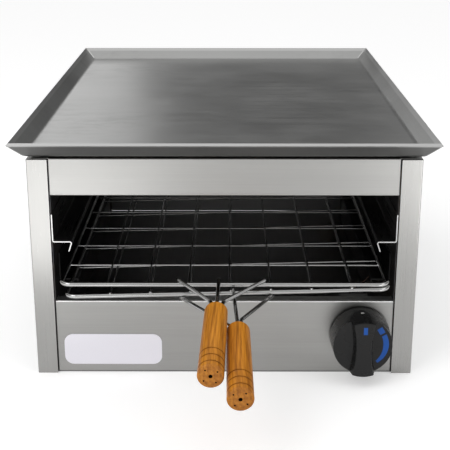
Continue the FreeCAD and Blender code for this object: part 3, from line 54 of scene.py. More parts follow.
WHITE = (1.0, 1.0, 1.0, 1.0)
Colour = tuple[float, float, float]
Place = tuple[float, float, float]
Spot = tuple[Vector, Vector]
Output = bpy.types.NodeSocket


def opaque(colour: Colour) -> tuple[float, float, float, float]:
    """Add full alpha to a colour."""
    return (*colour, 1.0)


def grey(level: float) -> Colour:
    """Return a grey of one level."""
    return (level, level, level)


class Graph:
    """Adds nodes to one node tree and links them."""

    def __init__(self, tree: bpy.types.NodeTree) -> None:
        """Keep the tree that the nodes go into."""
        self.tree = tree

    def add(self, kind: str, inputs: dict | None = None, **settings: object) -> bpy.types.Node:
        """Add one node.

        Args:
            kind: the node's type name.
            inputs: values or sockets for the node's inputs, by name or index.
            settings: properties of the node itself.

        Returns:
            The new node.
        """
        node = self.tree.nodes.new(kind)
        for name, value in settings.items():
            setattr(node, name, value)
        for key, value in (inputs or {}).items():
            if isinstance(value, bpy.types.NodeSocket):
                self.tree.links.new(value, node.inputs[key])
            else:
                node.inputs[key].default_value = value
        return node

    def use(self, group: bpy.types.NodeTree, values: dict[str, object]) -> bpy.types.NodeOutputs:
        """Place a shader group with its own values and return its outputs."""
        return self.add("ShaderNodeGroup", values, node_tree=group).outputs

    def math(self, operation: str, first: object, second: object = 0.0, clamp: bool = False) -> Output:
        """Return the value of one Math node of two inputs."""
        node = self.add("ShaderNodeMath", {0: first, 1: second}, operation=operation, use_clamp=clamp)
        return node.outputs[0]

    def plus(self, first: object, second: object, clamp: bool = False) -> Output:
        """Add two values."""
        return self.math("ADD", first, second, clamp)

    def minus(self, first: object, second: object) -> Output:
        """Take the second value from the first."""
        return self.math("SUBTRACT", first, second)

    def times(self, first: object, second: object) -> Output:
        """Multiply two values."""
        return self.math("MULTIPLY", first, second)

    def centred(self, value: object, amount: object) -> Output:
        """Move a value that varies about one half to zero, and scale it."""
        return self.times(self.minus(value, 0.5), amount)

    def absolute(self, value: object) -> Output:
        """Return a value without its sign."""
        return self.math("ABSOLUTE", value)

    def larger(self, first: object, second: object) -> Output:
        """Return the larger of two values."""
        return self.math("MAXIMUM", first, second)

    def smaller(self, first: object, second: object) -> Output:
        """Return the smaller of two values."""
        return self.math("MINIMUM", first, second)

    def vector(self, operation: str, first: object, second: object) -> Output:
        """Return the vector of one Vector Math node of two inputs."""
        return self.add("ShaderNodeVectorMath", {0: first, 1: second}, operation=operation).outputs[0]

    def length(self, vector: object) -> Output:
        """Return the length of a vector."""
        return self.add("ShaderNodeVectorMath", {0: vector}, operation="LENGTH").outputs["Value"]

    def axes(self, vector: object) -> bpy.types.NodeOutputs:
        """Return the X, Y and Z of a vector."""
        return self.add("ShaderNodeSeparateXYZ", {0: vector}).outputs

    def ramp(self, value: object, low: object, high: object, start: object, end: object) -> Output:
        """Map a value smoothly from the range low to high onto start to end."""
        inputs = {"Value": value, 1: low, 2: high, 3: start, 4: end}
        return self.add("ShaderNodeMapRange", inputs, interpolation_type="SMOOTHSTEP").outputs[0]

    def blend(self, factor: object, first: object, second: object) -> Output:
        """Mix two colours."""
        return self.add("ShaderNodeMix", {0: factor, 6: first, 7: second}, data_type="RGBA").outputs[2]

    def layers(self, colour: Output, *coats: tuple[Output, Colour]) -> Output:
        """Lay plain colours over a colour.

        Args:
            colour: the colour under them.
            coats: pairs of a mask and its colour, from the lowest coat up.

        Returns:
            The colour that shows.
        """
        for mask, coat in coats:
            colour = self.blend(mask, colour, opaque(coat))
        return colour

    def noise(self, vector: object, scale: float, detail: float, rough: float) -> Output:
        """Return the value of a noise texture."""
        inputs = {"Vector": vector, "Scale": scale, "Detail": detail, "Roughness": rough}
        return self.add("ShaderNodeTexNoise", inputs).outputs["Fac"]

    def stretched(self, vector: object, squeeze: Place, detail: float, rough: float) -> Output:
        """Return the value of a noise that is squeezed by its own amount along each axis."""
        return self.noise(self.vector("MULTIPLY", vector, squeeze), 1.0, detail, rough)


class Socket(Enum):
    """The kinds of socket that the node groups have."""

    VALUE = "NodeSocketFloat"
    COLOUR = "NodeSocketColor"
    VECTOR = "NodeSocketVector"
    GEOMETRY = "NodeSocketGeometry"
    MATERIAL = "NodeSocketMaterial"
    OBJECT = "NodeSocketObject"


SURFACE = {"Color": Socket.COLOUR, "Roughness": Socket.VALUE, "Height": Socket.VALUE}


class Group(Graph):
    """A node group with named inputs and outputs."""

    def __init__(self, name: str, kind: str, inputs: dict[str, Socket], outputs: dict[str, Socket]) -> None:
        """Make the group and its sockets.

        Args:
            name: the group's name.
            kind: ShaderNodeTree or GeometryNodeTree.
            inputs: the inputs, by name.
            outputs: the outputs, by name.
        """
        super().__init__(bpy.data.node_groups.new(name, kind))
        for way, sockets in (("INPUT", inputs), ("OUTPUT", outputs)):
            for label, socket in sockets.items():
                self.tree.interface.new_socket(name=label, in_out=way, socket_type=socket.value)
        self.given = self.add("NodeGroupInput").outputs
        self.sink = self.add("NodeGroupOutput")

    def close(self, values: dict[str, Output]) -> bpy.types.NodeTree:
        """Link the group's outputs.

        Args:
            values: what each output puts out, by name.

        Returns:
            The finished tree.
        """
        for name, value in values.items():
            self.tree.links.new(value, self.sink.inputs[name])
        return self.tree


class ShaderGroups:
    """The effects that several materials share, each built once."""

    def __init__(self) -> None:
        """Build every group."""
        self.sheet = self._sheet()
        self.wood = self._wood()
        self.scorch = self._scorch()
        self.heat = self._heat()
        self.speckle = self._speckle()

    def _sheet(self) -> bpy.types.NodeTree:
        """Brushed sheet: long streaks, faint blotches and the roughness that goes with them.

        Returns:
            The group's tree.
        """
        inputs = {**dict.fromkeys(("Vector", "Stretch"), Socket.VECTOR),
                  **dict.fromkeys(("Light", "Dark"), Socket.COLOUR),
                  **dict.fromkeys(("Streaks", "Blotches", "Smooth", "Rough"), Socket.VALUE)}
        group = Group("brushed_sheet", "ShaderNodeTree", inputs, SURFACE)
        given = group.given
        brushing = group.vector("MULTIPLY", given["Vector"], given["Stretch"])
        streak = group.noise(brushing, 1.0, 6.0, 0.62)
        wide = group.noise(brushing, 0.13, 2.0, 0.5)
        blotch = group.noise(given["Vector"], 11.0, 5.0, 0.6)
        lines = group.centred(group.plus(group.times(streak, 0.65), group.times(wide, 0.35)), given["Streaks"])
        clouds = group.centred(blotch, given["Blotches"])
        shade = group.plus(group.plus(lines, clouds), 0.5, clamp=True)
        wear = group.plus(group.times(streak, 0.6), group.times(blotch, 0.4))
        return group.close({"Color": group.blend(shade, given["Dark"], given["Light"]), "Height": streak,
                            "Roughness": group.ramp(wear, 0.3, 0.7, given["Smooth"], given["Rough"])})

    def _wood(self) -> bpy.types.NodeTree:
        """Straight-grained wood along Z: wavering growth bands, fibres and open pores.

        Returns:
            The group's tree.
        """
        waver_squeeze, waver_reach = (60.0, 60.0, 16.0), (0.011, 0.011, 0.0)
        heart, taper, rings_per_metre = (0.019, 0.006, -0.06), (1.0, 1.0, 0.09), 1500.0
        fibre_squeeze, cloud_squeeze = (1300.0, 1300.0, 26.0), (170.0, 170.0, 11.0)
        inputs = {"Vector": Socket.VECTOR, **dict.fromkeys(("Pale", "Deep", "Pore"), Socket.COLOUR)}
        group = Group("turned_wood", "ShaderNodeTree", inputs, SURFACE)
        given = group.given
        place = given["Vector"]
        waver = group.add("ShaderNodeTexNoise", {"Vector": group.vector("MULTIPLY", place, waver_squeeze),
                                                 "Scale": 1.0, "Detail": 2.0}).outputs["Color"]
        waver = group.vector("MULTIPLY", group.vector("SUBTRACT", waver, (0.5, 0.5, 0.5)), waver_reach)
        bent = group.vector("ADD", group.vector("ADD", place, waver), heart)
        radius = group.length(group.vector("MULTIPLY", bent, taper))
        bands = group.ramp(group.math("SINE", group.times(radius, rings_per_metre)), -0.3, 1.0, 0.0, 1.0)
        fibre = group.stretched(place, fibre_squeeze, 4.0, 0.6)
        cloud = group.ramp(group.stretched(place, cloud_squeeze, 4.0, 0.6), 0.34, 0.66, 0.0, 1.0)
        shade = group.plus(group.times(bands, 0.22), group.times(cloud, 0.52))
        shade = group.plus(group.plus(shade, group.centred(fibre, 1.3)), 0.02, clamp=True)
        colour = group.blend(shade, given["Pale"], given["Deep"])
        colour = group.blend(group.ramp(fibre, 0.60, 0.74, 0.0, 0.7), colour, given["Pore"])
        height = group.minus(group.times(fibre, -0.6), group.times(bands, 0.2))
        return group.close({"Color": colour, "Roughness": group.ramp(cloud, 0.3, 0.7, 0.28, 0.44),
                            "Height": height})

    def _scorch(self) -> bpy.types.NodeTree:
        """Burnt rings: how dark the wood is at a distance along it, near three evenly spaced grooves.

        Returns:
            The group's tree.
        """
        last_groove = 2.0
        inputs = dict.fromkeys(("Along", "First", "Pitch", "Width"), Socket.VALUE)
        group = Group("burnt_rings", "ShaderNodeTree", inputs, {"Mask": Socket.VALUE})
        given = group.given
        steps = group.math("DIVIDE", group.minus(given["Along"], given["First"]), given["Pitch"])
        nearest = group.smaller(group.larger(group.math("ROUND", steps), 0.0), last_groove)
        away = group.times(group.absolute(group.minus(steps, nearest)), given["Pitch"])
        return group.close({"Mask": group.ramp(away, 0.0, given["Width"], 1.0, 0.0)})

    def _heat(self) -> bpy.types.NodeTree:
        """Heat tint: straw, brown and blue clouds that oven heat leaves on steel.

        Returns:
            The group's tree.
        """
        straw, blue = (0.34, 0.22, 0.12), (0.12, 0.14, 0.24)
        inputs = {"Vector": Socket.VECTOR, "Base": Socket.COLOUR, "Amount": Socket.VALUE}
        group = Group("heat_tint", "ShaderNodeTree", inputs, {"Color": Socket.COLOUR})
        base = group.given["Base"]
        cloud = group.noise(group.given["Vector"], 17.0, 4.0, 0.6)
        tint = group.layers(base, (group.ramp(cloud, 0.40, 0.58, 0.0, 0.8), straw),
                            (group.ramp(cloud, 0.58, 0.70, 0.0, 0.8), blue))
        return group.close({"Color": group.blend(group.given["Amount"], base, tint)})

    def _speckle(self) -> bpy.types.NodeTree:
        """Fine moulded or cast grain with a faint change of colour and sheen.

        Returns:
            The group's tree.
        """
        inputs = {"Vector": Socket.VECTOR, "Base": Socket.COLOUR,
                  **dict.fromkeys(("Grain", "Change", "Smooth", "Rough"), Socket.VALUE)}
        group = Group("fine_speckle", "ShaderNodeTree", inputs, SURFACE)
        given = group.given
        sized = group.add("ShaderNodeVectorMath", {0: given["Vector"], "Scale": given["Grain"]},
                          operation="SCALE")
        grain = group.noise(sized.outputs[0], 1.0, 3.0, 0.6)
        cloud = group.noise(given["Vector"], 60.0, 3.0, 0.5)
        lift = group.plus(group.centred(grain, given["Change"]), 1.0)
        value = group.add("ShaderNodeHueSaturation", {"Color": given["Base"], "Value": lift})
        return group.close({"Color": value.outputs[0], "Height": grain,
                            "Roughness": group.ramp(cloud, 0.3, 0.7, given["Smooth"], given["Rough"])})


class Grain(Enum):
    """How far a brushed grain's noise is squeezed along X, Y and Z: least along the brushing."""

    ALONG_X = (7.0, 620.0, 620.0)
    ALONG_Y = (620.0, 7.0, 620.0)
    ALONG_Z = (620.0, 620.0, 7.0)


def emptied(owner: bpy.types.Material | bpy.types.World) -> bpy.types.NodeTree:
    """Clear the nodes of a material or a world.

    Args:
        owner: the material or world.

    Returns:
        Its node tree, with no nodes in it.
    """
    owner.use_nodes = True
    owner.node_tree.nodes.clear()
    return owner.node_tree


class MaterialGraph(Graph):
    """The graph of one material, with the shared effects and the Object coordinates at hand."""

    def __init__(self, material: bpy.types.Material, groups: ShaderGroups) -> None:
        """Empty the material's tree and add the coordinates.

        Args:
            material: the material.
            groups: the shared effects.
        """
        super().__init__(emptied(material))
        self.groups = groups
        self.place = self.add("ShaderNodeTexCoord").outputs["Object"]

    def heated(self, colour: Output, amount: float) -> Output:
        """Lay the heat tint over a colour, if there is any.

        Args:
            colour: the colour without heat.
            amount: how strong the tint is.

        Returns:
            The tinted colour.
        """
        if amount == 0.0:
            return colour
        return self.use(self.groups.heat, {"Vector": self.place, "Base": colour, "Amount": amount})["Color"]


@dataclass(frozen=True)
class Surface:
    """What a finish feeds its shader. The relief is in metres."""

    colour: Output
    rough: Output
    height: Output
    relief: float
    strength: float = 0.5


@dataclass(frozen=True)
class Finish:
    """A named finish. Each kind paints a surface of its own."""

    name: str

    def paint(self, graph: MaterialGraph) -> Surface:
        """Add the nodes of the finish's surface, which each kind does in its own way.

        Args:
            graph: the material's graph.

        Returns:
            The painted surface.
        """
        raise NotImplementedError

    def even(self) -> dict[str, float]:
        """Return the shader's values that are the same all over."""
        return {"Metallic": 1.0}

    def material(self, groups: ShaderGroups) -> bpy.types.Material:
        """Build the material, with one Principled shader.

        Args:
            groups: the shared effects.

        Returns:
            The material.
        """
        material = bpy.data.materials.new(self.name)
        graph = MaterialGraph(material, groups)
        surface = self.paint(graph)
        relief = {"Height": surface.height, "Distance": surface.relief, "Strength": surface.strength}
        shader = graph.add("ShaderNodeBsdfPrincipled", {
            "Base Color": surface.colour, "Roughness": surface.rough,
            "Normal": graph.add("ShaderNodeBump", relief).outputs[0], **self.even()})
        graph.add("ShaderNodeOutputMaterial", {"Surface": shader.outputs[0]})
        return material


@dataclass(frozen=True)
class SheetFinish(Finish):
    """Brushed or plain steel sheet. The painted highlight of a cut edge or of a fold is placed in millimetres.
    """

    light: Colour
    dark: Colour
    grain: Grain
    streaks: float = 0.9
    blotches: float = 0.35
    smooth: float = 0.30
    rough: float = 0.42
    relief: float = 0.00002
    heat: float = 0.0
    cut_edge_y: float | None = None
    cut_edge_fade: float = 0.5
    cut_edge_painted_highlight: Colour = (0.48, 0.48, 0.475)
    fold_z: float | None = None
    fold_drop: float = 0.5
    fold_reach: tuple[float, float] = (0.6, 1.0)
    fold_painted_highlight: Colour = (0.88, 0.88, 0.87)

    def brushed(self, graph: MaterialGraph, grain: Grain) -> bpy.types.NodeOutputs:
        """Place the brushed sheet effect with this finish's values.

        Args:
            graph: the material's graph.
            grain: the way of the brushing.

        Returns:
            The effect's outputs.
        """
        values = {"Vector": graph.place, "Stretch": grain.value, "Light": opaque(self.light),
                  "Dark": opaque(self.dark), "Streaks": self.streaks, "Blotches": self.blotches,
                  "Smooth": self.smooth, "Rough": self.rough}
        return graph.use(graph.groups.sheet, values)

    def paint(self, graph: MaterialGraph) -> Surface:
        """Paint brushed sheet with its heat tint and the painted highlights of its cut edge and fold.

        Args:
            graph: the material's graph.

        Returns:
            The painted surface.
        """
        sheet = self.brushed(graph, self.grain)
        colour = graph.heated(sheet["Color"], self.heat)
        # Painted highlight: a pale band along the cut edge at cut_edge_y.
        if self.cut_edge_y is not None:
            edge_highlight = graph.ramp(graph.axes(graph.place)[1], self.cut_edge_y * MM,
                              (self.cut_edge_y + self.cut_edge_fade) * MM, 1.0, 0.0)
            colour = graph.layers(colour, (edge_highlight, self.cut_edge_painted_highlight))
        # Painted highlight: a pale band along the fold at fold_z.
        if self.fold_z is not None:
            away = graph.absolute(graph.minus(graph.axes(graph.place)[2], (self.fold_z - self.fold_drop) * MM))
            full, none = self.fold_reach
            colour = graph.layers(colour, (graph.ramp(away, full * MM, none * MM, 1.0, 0.0), self.fold_painted_highlight))
        return Surface(colour, sheet["Roughness"], sheet["Height"], self.relief)


@dataclass(frozen=True)
class GriddleFinish(SheetFinish):
    """The griddle tray: brushed steel, scuffs where food is turned, dressed welds at the mitres, painted shade
    on its outside and a painted highlight along its rim.

    Its own sizes are in metres: the half width, half depth and height of the flat floor, and the rim's height.
    """

    floor_x: float = 0.2095
    floor_y: float = 0.2995
    floor_z: float = 0.2547
    rim_z: float = 0.2673
    # The rim band and its colour are a painted highlight along the top of the rim.
    rim_band: tuple[float, float] = (0.0018, 0.0012)
    rim_painted_highlight: Colour = (0.46, 0.46, 0.455)
    outside_shade_band: tuple[float, float] = (-0.0030, -0.0012)
    weld_start: float = 0.0005
    weld_band: tuple[float, float] = (0.0003, 0.0022)
    weld_light: Colour = (0.72, 0.72, 0.71)
    weld_grit: float = 900.0
    scuff_squeeze: Place = (26.0, 60.0, 1.0)
    scuff_shade: float = 0.14
    scuff_rough: float = 0.05
    patch_place: Place = (0.35, 0.1, 0.0)
    patch_scale: float = 4.2
    scuff_and_shade_share: float = 0.5

    def _scuffs(self, graph: MaterialGraph) -> Output:
        """Find how scuffed the floor is.

        Args:
            graph: the material's graph.

        Returns:
            The mask of the scuffs.
        """
        scuff = graph.stretched(graph.place, self.scuff_squeeze, 8.0, 0.72)
        patch = graph.noise(graph.vector("ADD", graph.place, self.patch_place), self.patch_scale, 2.0, 0.4)
        return graph.times(graph.ramp(scuff, 0.44, 0.66, 0.0, 1.0), graph.ramp(patch, 0.40, 0.62, 0.1, 1.0))

    def paint(self, graph: MaterialGraph) -> Surface:
        """Paint the tray, with the brushing turned on its side flanges, painted shade on its outside and a
        painted highlight along its rim.

        Args:
            graph: the material's graph.

        Returns:
            The painted surface.
        """
        x, y, z = graph.axes(graph.place)
        out_x = graph.minus(graph.absolute(x), self.floor_x)
        out_y = graph.minus(graph.absolute(y), self.floor_y)
        side = graph.math("GREATER_THAN", out_x, graph.larger(out_y, 0.0))
        across = self.brushed(graph, self.grain)
        along = self.brushed(graph, Grain.ALONG_Y)
        worn = self._scuffs(graph)
        seam = graph.ramp(graph.absolute(graph.minus(out_x, out_y)), *self.weld_band, 1.0, 0.0)
        weld = graph.times(seam, graph.math("GREATER_THAN", graph.smaller(out_x, out_y), self.weld_start))
        grit = graph.noise(graph.place, self.weld_grit, 3.0, 0.6)
        depth = graph.minus(graph.minus(z, self.floor_z), graph.larger(graph.larger(out_x, out_y), 0.0))
        # Painted highlight: a pale band just under the rim's top.
        rim_start, rim_end = (self.rim_z - drop for drop in self.rim_band)
        # This tone darkens the real scuffs and is also the painted shade on the outside faces below the floor.
        scuff_and_shade_tone = tuple(level * self.scuff_and_shade_share for level in self.dark)
        colour = graph.layers(
            graph.blend(side, across["Color"], along["Color"]),
            (graph.times(worn, self.scuff_shade), scuff_and_shade_tone),
            (graph.ramp(depth, *self.outside_shade_band, 1.0, 0.0), scuff_and_shade_tone),
            (graph.times(weld, graph.ramp(grit, 0.35, 0.65, 0.35, 0.85)), self.weld_light),
            (graph.ramp(z, rim_start, rim_end, 0.0, 1.0), self.rim_painted_highlight))
        rough = graph.plus(across["Roughness"], graph.times(worn, self.scuff_rough), clamp=True)
        height = graph.plus(across["Height"], graph.times(weld, grit))
        return Surface(colour, rough, height, self.relief)


@dataclass(frozen=True)
class SpeckledFinish(Finish):
    """One colour with a fine grain and a faint change of sheen."""

    colour: Colour
    smooth: float = 0.12
    rough: float = 0.26
    grain: float = 700.0
    change: float = 0.35
    relief: float = 0.00001
    strength: float = 0.3
    heat: float = 0.0

    def paint(self, graph: MaterialGraph) -> Surface:
        """Paint the grain and the heat tint.

        Args:
            graph: the material's graph.

        Returns:
            The painted surface.
        """
        values = {"Vector": graph.place, "Base": opaque(self.colour), "Grain": self.grain,
                  "Change": self.change, "Smooth": self.smooth, "Rough": self.rough}
        outputs = graph.use(graph.groups.speckle, values)
        colour = graph.heated(outputs["Color"], self.heat)
        return Surface(colour, outputs["Roughness"], outputs["Height"], self.relief, self.strength)


@dataclass(frozen=True)
class PlatedFinish(SpeckledFinish):
    """Bright plated wire or screws, brass or copper: nearly smooth."""


@dataclass(frozen=True)
class MouldedFinish(SpeckledFinish):
    """Moulded plastic, enamel or print: a fine grain under a soft gloss."""

    smooth: float = 0.36
    rough: float = 0.50
    grain: float = 2600.0
    change: float = 0.5
    relief: float = 0.00002
    strength: float = 0.5
    coat: float = 0.0
    coat_rough: float = 0.08
    shine: float = 0.5

    def even(self) -> dict[str, float]:
        """Return the gloss, which is the same all over."""
        return {"Specular IOR Level": self.shine, "Coat Weight": self.coat, "Coat Roughness": self.coat_rough}


@dataclass(frozen=True)
class HandlePlace:
    """Where a turned handle starts and which way it points, in millimetres of the row frame."""

    start: Place
    heading: Place

    def turn(self) -> Matrix:
        """Find the handle's turn.

        Returns:
            The rotation from the handle's own axes, Z along the wood, to the row frame.
        """
        along = Vector(self.heading).normalized()
        up = Vector((1.0, 0.0, 0.0)).cross(along).normalized()
        return Matrix((up.cross(along), up, along)).transposed()


@dataclass(frozen=True)
class WoodFinish(Finish):
    """Oiled turned wood with three burnt rings near its front end and a darkened rim, in millimetres."""

    place: HandlePlace
    pale: Colour
    deep: Colour
    length: float = 125.0
    groove_first: float = 31.6
    groove_half: float = 0.65
    groove_pitch: float = 11.5
    burnt_reach: float = 1.0
    burnt_amount: float = 0.9
    burnt_tone: Colour = (0.035, 0.014, 0.006)
    halo_reach: float = 3.6
    halo_amount: float = 0.6
    halo_tone: Colour = (0.16, 0.05, 0.012)
    rim_band: tuple[float, float] = (3.0, 0.4)
    rim_amount: float = 0.30
    rim_tone: Colour = (0.14, 0.045, 0.012)
    bored_radius: float = 10.4
    bored_start: float = 0.25
    bore_shade_tone: Colour = (0.020, 0.008, 0.004)
    pore_tone: Colour = (0.10, 0.032, 0.006)
    relief: float = 0.00012
    shine: float = 0.18
    coat: float = 0.10
    coat_rough: float = 0.16

    def even(self) -> dict[str, float]:
        """Return the oil's gloss, which is the same all over."""
        return {"Specular IOR Level": self.shine, "Coat Weight": self.coat, "Coat Roughness": self.coat_rough}

    def paint(self, graph: MaterialGraph) -> Surface:
        """Paint the wood's figure, the burnt rings and their halos, the rim and the painted shade inside the
        bores.

        Args:
            graph: the material's graph.

        Returns:
            The painted surface.
        """
        inputs = {"Vector": graph.place, "Location": Vector(self.place.start) * MM,
                  "Rotation": self.place.turn().to_euler(), "Scale": (1.0, 1.0, 1.0)}
        own = graph.add("ShaderNodeMapping", inputs, vector_type="TEXTURE").outputs[0]
        wood = graph.use(graph.groups.wood, {"Vector": own, "Pale": opaque(self.pale),
                                             "Deep": opaque(self.deep), "Pore": opaque(self.pore_tone)})
        along = graph.axes(own)[2]
        across = graph.length(graph.vector("MULTIPLY", own, (1.0, 1.0, 0.0)))
        # Painted shade: the inside of the end bores, darkened to near black.
        bore_shade = graph.times(graph.math("LESS_THAN", across, self.bored_radius * MM),
                            graph.math("LESS_THAN", along, (self.length - self.bored_start) * MM))
        rings = {"Along": along, "First": (self.length - self.groove_first + self.groove_half) * MM,
                 "Pitch": self.groove_pitch * MM}
        burnt, halo = (graph.use(graph.groups.scorch, {**rings, "Width": reach * MM})["Mask"]
                       for reach in (self.burnt_reach, self.halo_reach))
        patchy = graph.ramp(graph.noise(own, 130.0, 3.0, 0.6), 0.3, 0.7, 0.2, 0.7)
        rim_start, rim_end = ((self.length - back) * MM for back in self.rim_band)
        colour = graph.layers(
            wood["Color"],
            (graph.times(halo, graph.times(patchy, self.halo_amount)), self.halo_tone),
            (graph.times(burnt, self.burnt_amount), self.burnt_tone),
            (graph.ramp(along, rim_start, rim_end, 0.0, self.rim_amount), self.rim_tone),
            (bore_shade, self.bore_shade_tone))
        return Surface(colour, wood["Roughness"], wood["Height"], self.relief)


UPPER_HANDLE = HandlePlace((-8.0, -380.3, 111.0), (-4.0, -124.36, -12.63))
LOWER_HANDLE = HandlePlace((14.1, -401.3, 98.68), (1.2, -124.36, -12.63))
PANEL_LIGHT = (0.39, 0.387, 0.376)
PANEL_DARK = (0.285, 0.282, 0.274)


class Finishes:
    """Every finish of the toaster, and the material built from each."""

    def __init__(self) -> None:
        """Build the shared groups and all the materials."""
        groups = ShaderGroups()
        finishes = [
            # The panels carry a painted highlight along the lower front panel's top fold.
            SheetFinish("panel_steel", PANEL_LIGHT, PANEL_DARK, Grain.ALONG_X, streaks=1.0, rough=0.40,
                        relief=0.000008, fold_z=86.4),
            SheetFinish("post_steel", PANEL_LIGHT, PANEL_DARK, Grain.ALONG_Z, smooth=0.24, rough=0.34),
            SheetFinish("plain_steel", grey(0.54), grey(0.42), Grain.ALONG_X),
            # The rails carry a painted highlight along their front cut edge.
            SheetFinish("rail_steel", grey(0.20), grey(0.12), Grain.ALONG_Y, smooth=0.24, rough=0.36,
                        cut_edge_y=-298.3),
            SheetFinish("lining_steel", (0.12, 0.12, 0.125), (0.06, 0.06, 0.063), Grain.ALONG_Y, blotches=0.8,
                        rough=0.46, heat=0.12),
            SheetFinish("pan_steel", (0.26, 0.26, 0.262), (0.19, 0.19, 0.192), Grain.ALONG_Y, streaks=0.25,
                        blotches=0.7, smooth=0.34, rough=0.46),
            # Near-black copy of the rail steel: painted shade for the lower rails deep in the cavity.
            SheetFinish("dark_rail_steel", grey(0.035), grey(0.02), Grain.ALONG_Y, smooth=0.34, rough=0.5),
            SheetFinish("burner_steel", (0.42, 0.41, 0.40), (0.28, 0.27, 0.26), Grain.ALONG_Y, blotches=1.1,
                        smooth=0.34, rough=0.52, heat=0.6),
            GriddleFinish("griddle_steel", (0.42, 0.42, 0.415), (0.31, 0.31, 0.305), Grain.ALONG_X, streaks=0.7,
                          blotches=0.5, smooth=0.34, rough=0.46, relief=0.00003),
            PlatedFinish("bright_wire", (0.42, 0.42, 0.415), 0.06, 0.14),
            PlatedFinish("screw_steel", grey(0.66), 0.20, 0.34),
            PlatedFinish("brass", (0.70, 0.53, 0.26), 0.22, 0.36),
            PlatedFinish("copper", (0.46, 0.24, 0.15), 0.30, 0.46),
            PlatedFinish("aged_copper", (0.10, 0.065, 0.05), 0.40, 0.55),
            PlatedFinish("sensor_steel", (0.45, 0.42, 0.38), 0.28, 0.42, heat=0.7),
            # Near-black: painted shade for the valve body and bonnet in the dark behind the lower panel.
            MouldedFinish("cast_alloy", (0.09, 0.09, 0.088), grain=1500.0, change=0.4, smooth=0.42, rough=0.6,
                          relief=0.00008),
            MouldedFinish("knob_plastic", grey(0.009), change=0.8, smooth=0.20, rough=0.30, shine=0.26),
            MouldedFinish("badge_face", (0.90, 0.885, 0.955), grain=1200.0, change=0.05, smooth=0.16,
                          rough=0.24, relief=0.000004, coat=0.5),
            MouldedFinish("blue_print", (0.014, 0.085, 0.36), change=0.2, smooth=0.28, rough=0.4, shine=0.2),
            MouldedFinish("pale_print", (0.62, 0.62, 0.60), change=0.2),
            WoodFinish("upper_wood", UPPER_HANDLE, (0.66, 0.26, 0.028), (0.23, 0.068, 0.003)),
            # A darker copy of the upper wood: painted shade for the lower handle under the upper one.
            WoodFinish("lower_wood", LOWER_HANDLE, (0.62, 0.235, 0.022), (0.20, 0.056, 0.003)),
        ]
        self.materials = {finish.name: finish.material(groups) for finish in finishes}

    def get(self, name: str) -> bpy.types.Material:
        """Return one material by its finish's name."""
        return self.materials[name]

    def dress(self, name: str, *nodes: str) -> None:
        """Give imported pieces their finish.

        Args:
            name: the finish.
            nodes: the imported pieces.
        """
        for node in nodes:
            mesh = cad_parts[node].data
            mesh.materials.clear()
            mesh.materials.append(self.get(name))
            LOG.info("dressed %s in %s", node, name)


def object_from(name: str, data: bpy.types.ID) -> bpy.types.Object:
    """Put a mesh, a lamp or a camera in the scene, at the origin.

    Args:
        name: the object's name.
        data: the mesh, lamp or camera.

    Returns:
        The object.
    """
    piece = bpy.data.objects.new(name, data)
    bpy.context.scene.collection.objects.link(piece)
    return piece


def mesh_from(name: str, form: bmesh.types.BMesh) -> bpy.types.Mesh:
    """Close a bmesh into a mesh with outward faces.

    Args:
        name: the mesh's name.
        form: the bmesh, which is freed.

    Returns:
        The mesh.
    """
    bmesh.ops.remove_doubles(form, verts=form.verts, dist=1e-7)
    bmesh.ops.recalc_face_normals(form, faces=form.faces)
    mesh = bpy.data.meshes.new(name)
    form.to_mesh(mesh)
    form.free()
    return mesh


def flat_mesh(piece: bpy.types.Object, name: str) -> bpy.types.Mesh:
    """Turn an object with its modifiers into a plain mesh.

    Args:
        piece: the object.
        name: the mesh's name.

    Returns:
        The mesh.
    """
    graph = bpy.context.evaluated_depsgraph_get()
    mesh = bpy.data.meshes.new_from_object(piece.evaluated_get(graph))
    mesh.name = name
    return mesh


